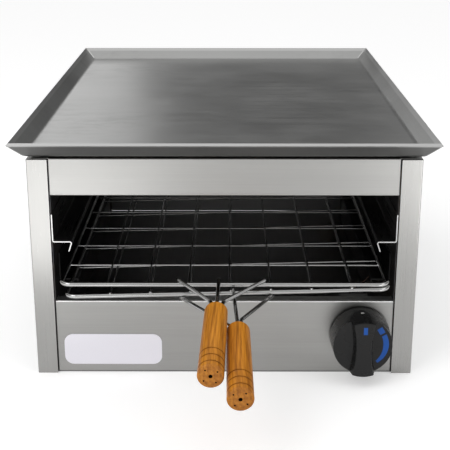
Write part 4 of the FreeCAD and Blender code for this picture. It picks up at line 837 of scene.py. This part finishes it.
class Repeater:
    """A geometry tree that puts a shape on marked points, and turns it to face each point's own way."""

    def __init__(self) -> None:
        """Build the tree."""
        any_turn = 3.1
        turn_seed, size_seed = 7, 11
        inputs = {"Points": Socket.GEOMETRY, "Shape": Socket.OBJECT, "Size": Socket.VALUE,
                  "Spread": Socket.VALUE, "Finish": Socket.MATERIAL}
        group = Group("shape_on_points", "GeometryNodeTree", inputs, {"Geometry": Socket.GEOMETRY})
        given = group.given
        shape = group.add("GeometryNodeObjectInfo", {"Object": given["Shape"]}, transform_space="ORIGINAL")
        facing = group.add("GeometryNodeInputNamedAttribute", {"Name": "facing"}, data_type="FLOAT_VECTOR")
        turn = group.add("FunctionNodeAlignRotationToVector", {"Vector": facing.outputs[0]}, axis="Z")
        spin = group.add("FunctionNodeRandomValue", {"Min": (0.0, 0.0, -any_turn), "Max": (0.0, 0.0, any_turn),
                                                     "Seed": turn_seed}, data_type="FLOAT_VECTOR")
        spun = group.add("FunctionNodeRotateRotation", {
            "Rotation": turn.outputs[0], "Rotate By": spin.outputs[0]}, rotation_space="LOCAL")
        chance = group.add("FunctionNodeRandomValue", {2: -1.0, 3: 1.0, "Seed": size_seed}, data_type="FLOAT")
        change = group.plus(group.times(chance.outputs[1], given["Spread"]), 1.0)
        placed = group.add("GeometryNodeInstanceOnPoints", {
            "Points": given["Points"], "Instance": shape.outputs["Geometry"], "Rotation": spun.outputs[0],
            "Scale": group.times(given["Size"], change)})
        real = group.add("GeometryNodeRealizeInstances", {0: placed.outputs[0]})
        dressed = group.add("GeometryNodeSetMaterial", {"Geometry": real.outputs[0],
                                                        "Material": given["Finish"]})
        self.tree = group.close({"Geometry": dressed.outputs[0]})

    def _socket(self, name: str) -> str:
        """Return the identifier of a named input."""
        return next(item.identifier for item in self.tree.interface.items_tree
                    if item.in_out == "INPUT" and item.name == name)

    def place(self, name: str, spots: list[Spot], shape: bpy.types.Object, finish: bpy.types.Material,
              size: float = 1.0, spread: float = 0.0) -> bpy.types.Object:
        """Put the shape on each spot and make the result one plain mesh.

        Args:
            name: the piece's name.
            spots: pairs of a place and the way its shape faces, in metres.
            shape: the object to repeat, pointing along its own +Z.
            finish: the piece's material.
            size: a factor on the shape.
            spread: how much single copies differ in size, as a share.

        Returns:
            The finished piece, at the origin.
        """
        mesh = bpy.data.meshes.new(f"{name}_points")
        mesh.from_pydata([place for place, _ in spots], [], [])
        facing = mesh.attributes.new("facing", "FLOAT_VECTOR", "POINT")
        for index, (_, way) in enumerate(spots):
            facing.data[index].vector = way
        carrier = object_from(f"{name}_carrier", mesh)
        modifier = carrier.modifiers.new("repeat", "NODES")
        modifier.node_group = self.tree
        for label, value in (("Shape", shape), ("Size", size), ("Spread", spread), ("Finish", finish)):
            modifier[self._socket(label)] = value
        piece = object_from(name, flat_mesh(carrier, name))
        bpy.data.objects.remove(carrier)
        return piece


@dataclass(frozen=True)
class ScrewRow:
    """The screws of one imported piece, mirrored about its middle, in millimetres of the row frame."""

    node: str
    out: float
    depths: tuple[float, ...]
    heights: tuple[float, ...]
    facing: tuple[int, int, int]
    middle: float = 0.0
    size: float = 1.0

    def spots(self) -> list[Spot]:
        """List the heads, with the facing of the right-hand ones mirrored to the left.

        Returns:
            Pairs of a place in metres and the way the head faces.
        """
        side, front, top = self.facing
        return [(Vector((self.middle + self.out * hand, depth, height)) * MM, Vector((side * hand, front, top)))
                for hand in (-1, 1) for depth in self.depths for height in self.heights]


REAR_SCREW_HEIGHTS = tuple(24 + 200 / 3 * step for step in range(4))


@dataclass
class Cabinet:
    """The steel cabinet: sheets, linings, rails and screws. Sizes are in millimetres."""

    finishes: Finishes
    repeater: Repeater
    screw_rows: tuple[ScrewRow, ...] = (
        ScrewRow("rear_panel_screws", 199.4, (300.0,), REAR_SCREW_HEIGHTS, (0, 1, 0)),
        ScrewRow("upper_panel_screws", 199.4, (-284.0,), (248.8,), (0, 0, 1)),
        ScrewRow("burner_support_screws", 185.4, (-183.0, 207.0), (218.0, 236.0), (-1, 0, 0)),
        ScrewRow("radiant_plate_screws", 143.0, (-183.0, 207.0), (210.0,), (0, 0, -1)),
        ScrewRow("valve_screws", 14.0, (-297.0,), (47.1,), (0, -1, 0), middle=150.5, size=0.8),
    )
    head_radius: float = 3.8
    head_rise: float = 1.8
    head_flat: float = 0.55
    head_round: float = 0.45
    head_skirt: float = 0.25
    cross_reach: float = 0.52
    cross_width: float = 0.9
    cross_depth: float = 1.2

    def dress(self) -> None:
        """Give every packed sheet its finish."""
        for side in ("left", "right"):
            self.finishes.dress("post_steel", f"side_panel_{side}")
            self.finishes.dress("lining_steel", f"liner_{side}")
            self.finishes.dress("rail_steel", f"upper_rail_{side}")
            # The lower rails get the painted-shade copy of the rail steel.
            self.finishes.dress("dark_rail_steel", f"lower_rail_{side}")
            self.finishes.dress("plain_steel", f"griddle_rest_{side}")
        self.finishes.dress("panel_steel", "upper_front_panel", "lower_front_panel")
        self.finishes.dress("plain_steel", "rear_panel")
        self.finishes.dress("pan_steel", "base_pan")
        self.finishes.dress("badge_face", "badge_plate")

    def _screw_head(self) -> bpy.types.Object:
        """Make one domed head with a cross recess, its seat at zero and its top towards +Z.

        Returns:
            The head's object.
        """
        dome_steps, turn_steps = 7, 24
        form = bmesh.new()
        profile = [(self.head_radius, 0.0)]
        for step in range(dome_steps + 1):
            angle = math.pi / 2 * step / dome_steps
            profile.append((self.head_radius * (self.head_flat + self.head_round * math.cos(angle)),
                            self.head_rise * (self.head_skirt + (1 - self.head_skirt) * math.sin(angle))))
        profile += [(0.0, self.head_rise), (0.0, 0.0)]
        verts = [form.verts.new((radius * MM, 0.0, rise * MM)) for radius, rise in profile]
        edges = [form.edges.new(pair) for pair in zip(verts, verts[1:] + verts[:1])]
        bmesh.ops.spin(form, geom=verts + edges, axis=(0, 0, 1), cent=(0, 0, 0), steps=turn_steps,
                       angle=math.tau)
        head = object_from("screw_head", mesh_from("screw_head", form))
        cutter = bmesh.new()
        reach = self.head_radius * self.cross_reach
        scale = Matrix.Diagonal((2 * reach * MM, self.cross_width * MM, 2 * self.cross_depth * MM, 1.0))
        for turn in (0.0, math.pi / 2):
            arm = bmesh.ops.create_cube(cutter, size=1.0)["verts"]
            place = Matrix.Translation((0, 0, self.head_rise * MM)) @ Matrix.Rotation(turn, 4, "Z") @ scale
            bmesh.ops.transform(cutter, matrix=place, verts=arm)
        tool = object_from("cross_cutter", mesh_from("cross_cutter", cutter))
        cut = head.modifiers.new("cross", "BOOLEAN")
        cut.object = tool
        cut.operation = "DIFFERENCE"
        cut.use_self = True
        shaped = object_from("screw_shape", flat_mesh(head, "screw_shape"))
        for item in (head, tool):
            bpy.data.objects.remove(item)
        return shaped

    def screws(self) -> None:
        """Replace the plain screw heads by domed ones with a cross recess."""
        shape = self._screw_head()
        steel = self.finishes.get("screw_steel")
        for row in self.screw_rows:
            piece = self.repeater.place(f"{row.node}_detailed", row.spots(), shape, steel, row.size)
            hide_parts(row.node)
            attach(piece, "cabinet")
            LOG.info("made %s", piece.name)
        bpy.data.objects.remove(shape)


@dataclass
class Griddle:
    """The griddle tray on the roof."""

    finishes: Finishes

    def dress(self) -> None:
        """Give the tray and its pins their finish."""
        self.finishes.dress("griddle_steel", "griddle_plate")
        self.finishes.dress("plain_steel", "griddle_locating_pins")


@dataclass
class Burner:
    """The burner, its supports, injector and flame sensor."""

    finishes: Finishes

    def dress(self) -> None:
        """Give the burner's pieces their finishes."""
        self.finishes.dress("burner_steel", "burner_header", "burner_tube_left", "burner_tube_middle",
                            "burner_tube_right", "mixer_tube", "air_shutter", "burner_support_front",
                            "burner_support_rear", "radiant_plate")
        self.finishes.dress("brass", "injector")
        self.finishes.dress("plain_steel", "injector_bracket")
        self.finishes.dress("sensor_steel", "flame_sensor")
        self.finishes.dress("aged_copper", "flame_sensor_lead")


@dataclass
class GasRoute:
    """Inlet, pipes, nuts and valve. Sizes are in millimetres of the row frame."""

    finishes: Finishes
    spring_seat: Place = (150.5, -278.0, 47.1)
    spring_length: float = 13.95
    spring_give: float = 4.4

    def dress(self) -> None:
        """Give the gas route's pieces their finishes."""
        self.finishes.dress("brass", "gas_inlet_nipple", "inlet_locknut", "pipe_nuts", "valve_plug",
                            "safety_magnet")
        self.finishes.dress("copper", "supply_pipe", "burner_pipe")
        # The valve body and bonnet are near-black as painted shade.
        self.finishes.dress("cast_alloy", "valve_body", "valve_bonnet")
        self.finishes.dress("screw_steel", "valve_spindle", "valve_spring")

    def spring(self) -> None:
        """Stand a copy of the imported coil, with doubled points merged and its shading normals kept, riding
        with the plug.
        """
        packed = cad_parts["valve_spring"].data
        form = bmesh.new()
        form.from_mesh(packed)
        mesh = mesh_from("pressed_spring", form)
        mesh.normals_split_custom_set([corner.vector for corner in packed.corner_normals])
        mesh.materials.append(self.finishes.get("screw_steel"))
        coil = object_from("pressed_spring", mesh)
        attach(coil, "plug")
        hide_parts("valve_spring")
        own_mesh(coil)
        LOG.info("made %s", coil.name)


@dataclass
class Knob:
    """The gas knob and the marks printed on it. Sizes are in millimetres about the knob's axis."""

    finishes: Finishes
    side: float = 150.5
    height: float = 47.1
    face: float = -341.1
    crescent: float = -330.0
    rear: float = -301.5
    rear_radius: float = 33.5
    front_radius: float = 31.7
    depth: float = 39.6
    ink: float = 0.12
    pointer_middle: tuple[float, float] = (1.0, 22.6)
    pointer_size: tuple[float, float] = (4.3, 8.3)
    block_radius: float = 26.4
    block_angle: float = 43.2
    block_turn: float = 32.0
    block_size: tuple[float, float] = (6.2, 7.2)
    arc_angles: tuple[float, float] = (30.0, -50.0)
    arc_inner: tuple[float, ...] = (23.3, 22.1, 22.0, 22.5)
    arc_outer: tuple[float, ...] = (28.8, 28.3, 27.2, 25.6)
    dash_back: float = 12.9
    dash_size: tuple[float, float] = (3.3, 2.2)

    def dress(self) -> None:
        """Give the knob its plastic."""
        self.finishes.dress("knob_plastic", "knob")

    def marks(self) -> None:
        """Print the pointer block, the full flame block, the tapering scale and the index dash."""
        angle = math.radians(self.block_angle)
        middle = (self.block_radius * math.cos(angle), self.block_radius * math.sin(angle))
        pointer = self._rectangle(self.pointer_middle, self.pointer_size, 0.0)
        block = self._rectangle(middle, self.block_size, self.block_turn)
        self._plate("pointer_print", pointer, self.face)
        self._plate("full_flame_print", block, self.crescent)
        self._plate("flame_scale_print", self._scale(), self.crescent)
        self._dash()

    def _rectangle(self, middle: tuple[float, float], size: tuple[float, float],
                   degrees: float) -> list[tuple[float, float]]:
        """Find the corners of a turned rectangle.

        Args:
            middle: X and Z of its middle, from the knob's axis.
            size: its width and its height.
            degrees: how far it is turned.

        Returns:
            The corners as X and Z.
        """
        turn = math.radians(degrees)
        corners = []
        for u, v in ((-1, -1), (1, -1), (1, 1), (-1, 1)):
            out = u * size[0] / 2
            up = v * size[1] / 2
            corners.append((middle[0] + out * math.cos(turn) - up * math.sin(turn),
                            middle[1] + out * math.sin(turn) + up * math.cos(turn)))
        return corners

    def _scale(self) -> list[tuple[float, float]]:
        """Draw the arc that narrows towards the low flame.

        Returns:
            Its outline as X and Z from the knob's axis.
        """
        steps = 28
        start, end = self.arc_angles
        outer = []
        inner = []
        for step in range(steps + 1):
            share = step / steps
            angle = math.radians(start + (end - start) * share)
            slot = share * (len(self.arc_inner) - 1)
            index = min(int(slot), len(self.arc_inner) - 2)
            for row, radii in ((outer, self.arc_outer), (inner, self.arc_inner)):
                radius = radii[index] + (radii[index + 1] - radii[index]) * (slot - index)
                row.append((radius * math.cos(angle), radius * math.sin(angle)))
        return outer + inner[::-1]

    def _plate(self, name: str, outline: list[tuple[float, float]], face: float) -> None:
        """Lay a thin blue print on a face that looks forward.

        Args:
            name: the print's name.
            outline: its corners as X and Z from the knob's axis.
            face: Y of the face it lies on.
        """
        form = bmesh.new()
        low = [form.verts.new(((self.side + x) * MM, face * MM, (self.height + z) * MM)) for x, z in outline]
        high = [form.verts.new(vert.co + Vector((0, -self.ink * MM, 0))) for vert in low]
        form.faces.new(low)
        form.faces.new(high)
        for index in range(len(outline)):
            form.faces.new((low[index - 1], low[index], high[index], high[index - 1]))
        self._finish_print(name, form, "blue_print")

    def _dash(self) -> None:
        """Print the index dash on the top of the knob's side."""
        form = bmesh.new()
        wide, long = self.dash_size
        steps = 6
        rows = []
        for lift in (0.0, self.ink):
            row = []
            for back in (self.dash_back, self.dash_back + long):
                radius = self.rear_radius + (self.front_radius - self.rear_radius) * back / self.depth + lift
                for step in range(steps + 1):
                    angle = math.pi / 2 + wide / radius * (0.5 - step / steps)
                    spot = ((self.side + radius * math.cos(angle)) * MM, (self.rear - back) * MM,
                            (self.height + radius * math.sin(angle)) * MM)
                    row.append(form.verts.new(spot))
            rows.append(row)
        low, high = rows
        last = steps + 1
        for step in range(steps):
            form.faces.new((low[step], low[step + 1], low[last + step + 1], low[last + step]))
            form.faces.new((high[step], high[last + step], high[last + step + 1], high[step + 1]))
            form.faces.new((low[step], high[step], high[step + 1], low[step + 1]))
            form.faces.new((low[last + step], low[last + step + 1], high[last + step + 1], high[last + step]))
        for step in (0, steps):
            form.faces.new((low[step], low[last + step], high[last + step], high[step]))
        self._finish_print("index_dash", form, "pale_print")

    def _finish_print(self, name: str, form: bmesh.types.BMesh, finish: str) -> None:
        """Make a print's mesh, dress it and let it ride with the knob.

        Args:
            name: the print's name.
            form: its bmesh.
            finish: its finish.
        """
        mesh = mesh_from(name, form)
        mesh.materials.append(self.finishes.get(finish))
        piece = object_from(name, mesh)
        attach(piece, "knob")
        LOG.info("made %s", name)


@dataclass(frozen=True)
class WireGrid:
    """Where one grid's wires are welded, in millimetres, with the grid lying level before its roll."""

    name: str
    height: float
    half: float
    first: float
    shift: float
    pitch: float
    side: float = 0.0
    roll: float = 0.0
    front_beads: bool = False
    front: float = -322.5
    rear: float = 127.5
    bar_radius: float = 2.4
    cross_pitch: float = 64.8
    long_wires: int = 7
    cross_wires: int = 6
    rear_sink: float = 0.2
    front_out: float = 0.9
    front_lift: float = 0.3
    front_way: Place = (0.0, -0.6, 0.8)
    side_out: float = 0.1
    side_drop: float = 0.6
    side_tilt: float = 0.4

    def spots(self) -> list[Spot]:
        """List the beads: on the rear bar, on the front bar where it shows them, and on the side bars.

        Returns:
            Pairs of a place in metres and the way the bead faces.
        """
        found = []
        for step in range(self.long_wires):
            x = self.shift + self.pitch * (step - self.long_wires // 2)
            found.append((Vector((x, self.rear, self.bar_radius - self.rear_sink)), Vector((0, 0, 1))))
            if self.front_beads:
                place = Vector((x, self.front - self.front_out, self.bar_radius + self.front_lift))
                found.append((place, Vector(self.front_way)))
        for step in range(self.cross_wires):
            y = self.front + self.first + self.cross_pitch * step
            for hand in (-1, 1):
                place = Vector(((self.half - self.bar_radius + self.side_out) * hand, y, -self.side_drop))
                found.append((place, Vector((hand, 0, self.side_tilt))))
        turn = Matrix.Translation(Vector((self.side, 0, self.height))) @ Matrix.Rotation(
            math.radians(-self.roll), 4, "Y")
        return [((turn @ place) * MM, turn.to_3x3() @ way) for place, way in found]


@dataclass
class Grill:
    """The double grill: two wire grids, their rods, clips and turned handles."""

    finishes: Finishes
    repeater: Repeater
    grids: tuple[WireGrid, ...] = (
        WireGrid("upper", height=116.0, half=175.5, first=62.0, shift=5.5, pitch=43.8),
        WireGrid("lower", height=106.4, half=173.5, first=88.0, shift=4.1, pitch=43.3, side=3.0, roll=1.453,
                 front_beads=True),
    )
    bead_radius: float = 1.3
    bead_shape: Place = (1.15, 1.1, 0.85)
    bead_ripple: float = 0.06
    bead_rates: tuple[float, float] = (4100.0, 2700.0)
    bead_spread: float = 0.18

    def dress(self) -> None:
        """Give the grill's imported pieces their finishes."""
        self.finishes.dress("bright_wire", "upper_grid", "lower_grid", "upper_handle_rods", "lower_handle_rods",
                            "hinge_clips")
        self.finishes.dress("upper_wood", "upper_handle")
        # The lower handle's wood is darker as painted shade.
        self.finishes.dress("lower_wood", "lower_handle")

    def _bead(self) -> bpy.types.Object:
        """Make one small resistance weld bead, flattened along its facing way and a little uneven.

        Returns:
            The bead's object.
        """
        form = bmesh.new()
        bmesh.ops.create_icosphere(form, subdivisions=2, radius=self.bead_radius * MM)
        bmesh.ops.scale(form, vec=self.bead_shape, verts=form.verts)
        rate_x, rate_y = self.bead_rates
        for vert in form.verts:
            vert.co *= 1.0 + self.bead_ripple * math.sin(vert.co.x * rate_x + vert.co.y * rate_y)
        return object_from("weld_bead_shape", mesh_from("weld_bead_shape", form))

    def welds(self) -> None:
        """Put a weld bead where each wire meets a frame bar. Only the lower grid has beads on its front bar."""
        shape = self._bead()
        wire = self.finishes.get("bright_wire")
        for grid in self.grids:
            piece = self.repeater.place(f"{grid.name}_grid_welds", grid.spots(), shape, wire,
                                        spread=self.bead_spread)
            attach(piece, f"{grid.name}_grill")
            LOG.info("made %s", piece.name)
        bpy.data.objects.remove(shape)


@dataclass(frozen=True)
class Lamp:
    """One soft rectangular lamp, in metres and watts."""

    name: str
    place: Place
    target: Place
    wide: float
    tall: float
    power: float

    def light(self) -> None:
        """Hang the lamp in the scene, out of the camera's sight."""
        data = bpy.data.lights.new(self.name, "AREA")
        data.shape = "RECTANGLE"
        data.size = self.wide
        data.size_y = self.tall
        data.energy = self.power
        lamp = object_from(self.name, data)
        lamp.location = self.place
        lamp.rotation_euler = (Vector(self.target) - Vector(self.place)).to_track_quat("-Z", "Y").to_euler()
        lamp.visible_camera = False


@dataclass
class Studio:
    """White floor, soft lamps and the camera. The world is brighter in front of the toaster than behind it."""

    camera_place: Place = (0.0042, -1.3687, 0.5335)
    camera_pitch: float = 71.5
    camera_yaw: float = 0.193
    lens: float = 83.86
    sensor: float = 36.0
    floor_size: float = 40.0
    floor_drop: float = 0.0002
    floor_tone: Colour = (0.86, 0.86, 0.86)
    floor_glow: float = 0.32
    front_light: float = 0.56
    back_light: float = 0.075
    back_band: tuple[float, float] = (-0.3, 0.5)
    roof_light: float = 1.05
    roof_band: tuple[float, float] = (0.45, 0.90)
    lamps: tuple[Lamp, ...] = (
        Lamp("key", (-1.5, -1.7, 2.0), (0.0, 0.0, 0.12), 1.5, 1.5, 20.0),
        Lamp("fill", (1.9, -1.4, 1.3), (0.0, 0.0, 0.12), 1.4, 1.4, 8.0),
        Lamp("card_left", (-0.56, 1.0, 0.74), (-0.38, 0.0, 0.55), 0.72, 0.66, 2.0),
        Lamp("card_right", (0.66, 1.0, 0.62), (0.45, 0.0, 0.55), 0.50, 0.66, 0.35),
        Lamp("low_left", (-0.56, -1.0, 0.03), (-0.56, -1.0, 1.0), 0.84, 0.90, 4.6),
        Lamp("low_right", (0.68, -1.05, 0.03), (0.68, -1.05, 1.0), 0.70, 0.80, 5.4),
    )

    def camera(self) -> None:
        """Make the camera at the photograph's viewing angle."""
        data = bpy.data.cameras.new("camera")
        data.lens = self.lens
        data.sensor_width = self.sensor
        data.clip_end = self.floor_size
        camera = object_from("camera", data)
        camera.location = self.camera_place
        camera.rotation_euler = (math.radians(self.camera_pitch), 0.0, math.radians(self.camera_yaw))
        bpy.context.scene.camera = camera

    def light(self) -> None:
        """Make the lamps and the world."""
        for lamp in self.lamps:
            lamp.light()
        world = bpy.data.worlds.new("studio")
        graph = Graph(emptied(world))
        axes = graph.axes(graph.add("ShaderNodeTexCoord").outputs["Generated"])
        level = graph.ramp(axes[1], *self.back_band, self.front_light, self.back_light)
        level = graph.ramp(axes[2], *self.roof_band, level, self.roof_light)
        back = graph.add("ShaderNodeBackground", {"Color": WHITE, "Strength": level})
        graph.add("ShaderNodeOutputWorld", {"Surface": back.outputs[0]})
        bpy.context.scene.world = world

    def floor(self) -> None:
        """Make the pale floor, which glows only where the camera, metal or glass looks at it."""
        form = bmesh.new()
        bmesh.ops.create_grid(form, x_segments=1, y_segments=1, size=self.floor_size / 2)
        mesh = bpy.data.meshes.new("floor")
        form.to_mesh(mesh)
        form.free()
        mesh.transform(Matrix.Translation((0, 0, -self.floor_drop)))
        material = bpy.data.materials.new("floor_white")
        graph = Graph(emptied(material))
        path = graph.add("ShaderNodeLightPath").outputs
        seen = graph.plus(path["Is Camera Ray"], path["Is Glossy Ray"])
        seen = graph.plus(seen, path["Is Transmission Ray"], clamp=True)
        matt = graph.add("ShaderNodeBsdfDiffuse", {"Color": opaque(self.floor_tone)})
        glow = graph.add("ShaderNodeEmission", {"Color": WHITE, "Strength": self.floor_glow})
        lifted = graph.add("ShaderNodeAddShader", {0: matt.outputs[0], 1: glow.outputs[0]})
        mix = graph.add("ShaderNodeMixShader", {0: seen, 1: matt.outputs[0], 2: lifted.outputs[0]})
        graph.add("ShaderNodeOutputMaterial", {"Surface": mix.outputs[0]})
        mesh.materials.append(material)
        object_from("floor", mesh)


def main() -> None:
    """Build the toaster's looks in order."""
    logging.basicConfig(level=logging.INFO, format="%(name)s: %(message)s")
    bpy.context.scene.view_settings.view_transform = "Standard"
    finishes = Finishes()
    repeater = Repeater()
    cabinet = Cabinet(finishes, repeater)
    cabinet.dress()
    cabinet.screws()
    Griddle(finishes).dress()
    Burner(finishes).dress()
    gas_route = GasRoute(finishes)
    gas_route.dress()
    gas_route.spring()
    knob = Knob(finishes)
    knob.dress()
    knob.marks()
    grill = Grill(finishes, repeater)
    grill.dress()
    grill.welds()
    studio = Studio()
    studio.camera()
    studio.light()
    studio.floor()


if __name__ == "__main__":
    main()
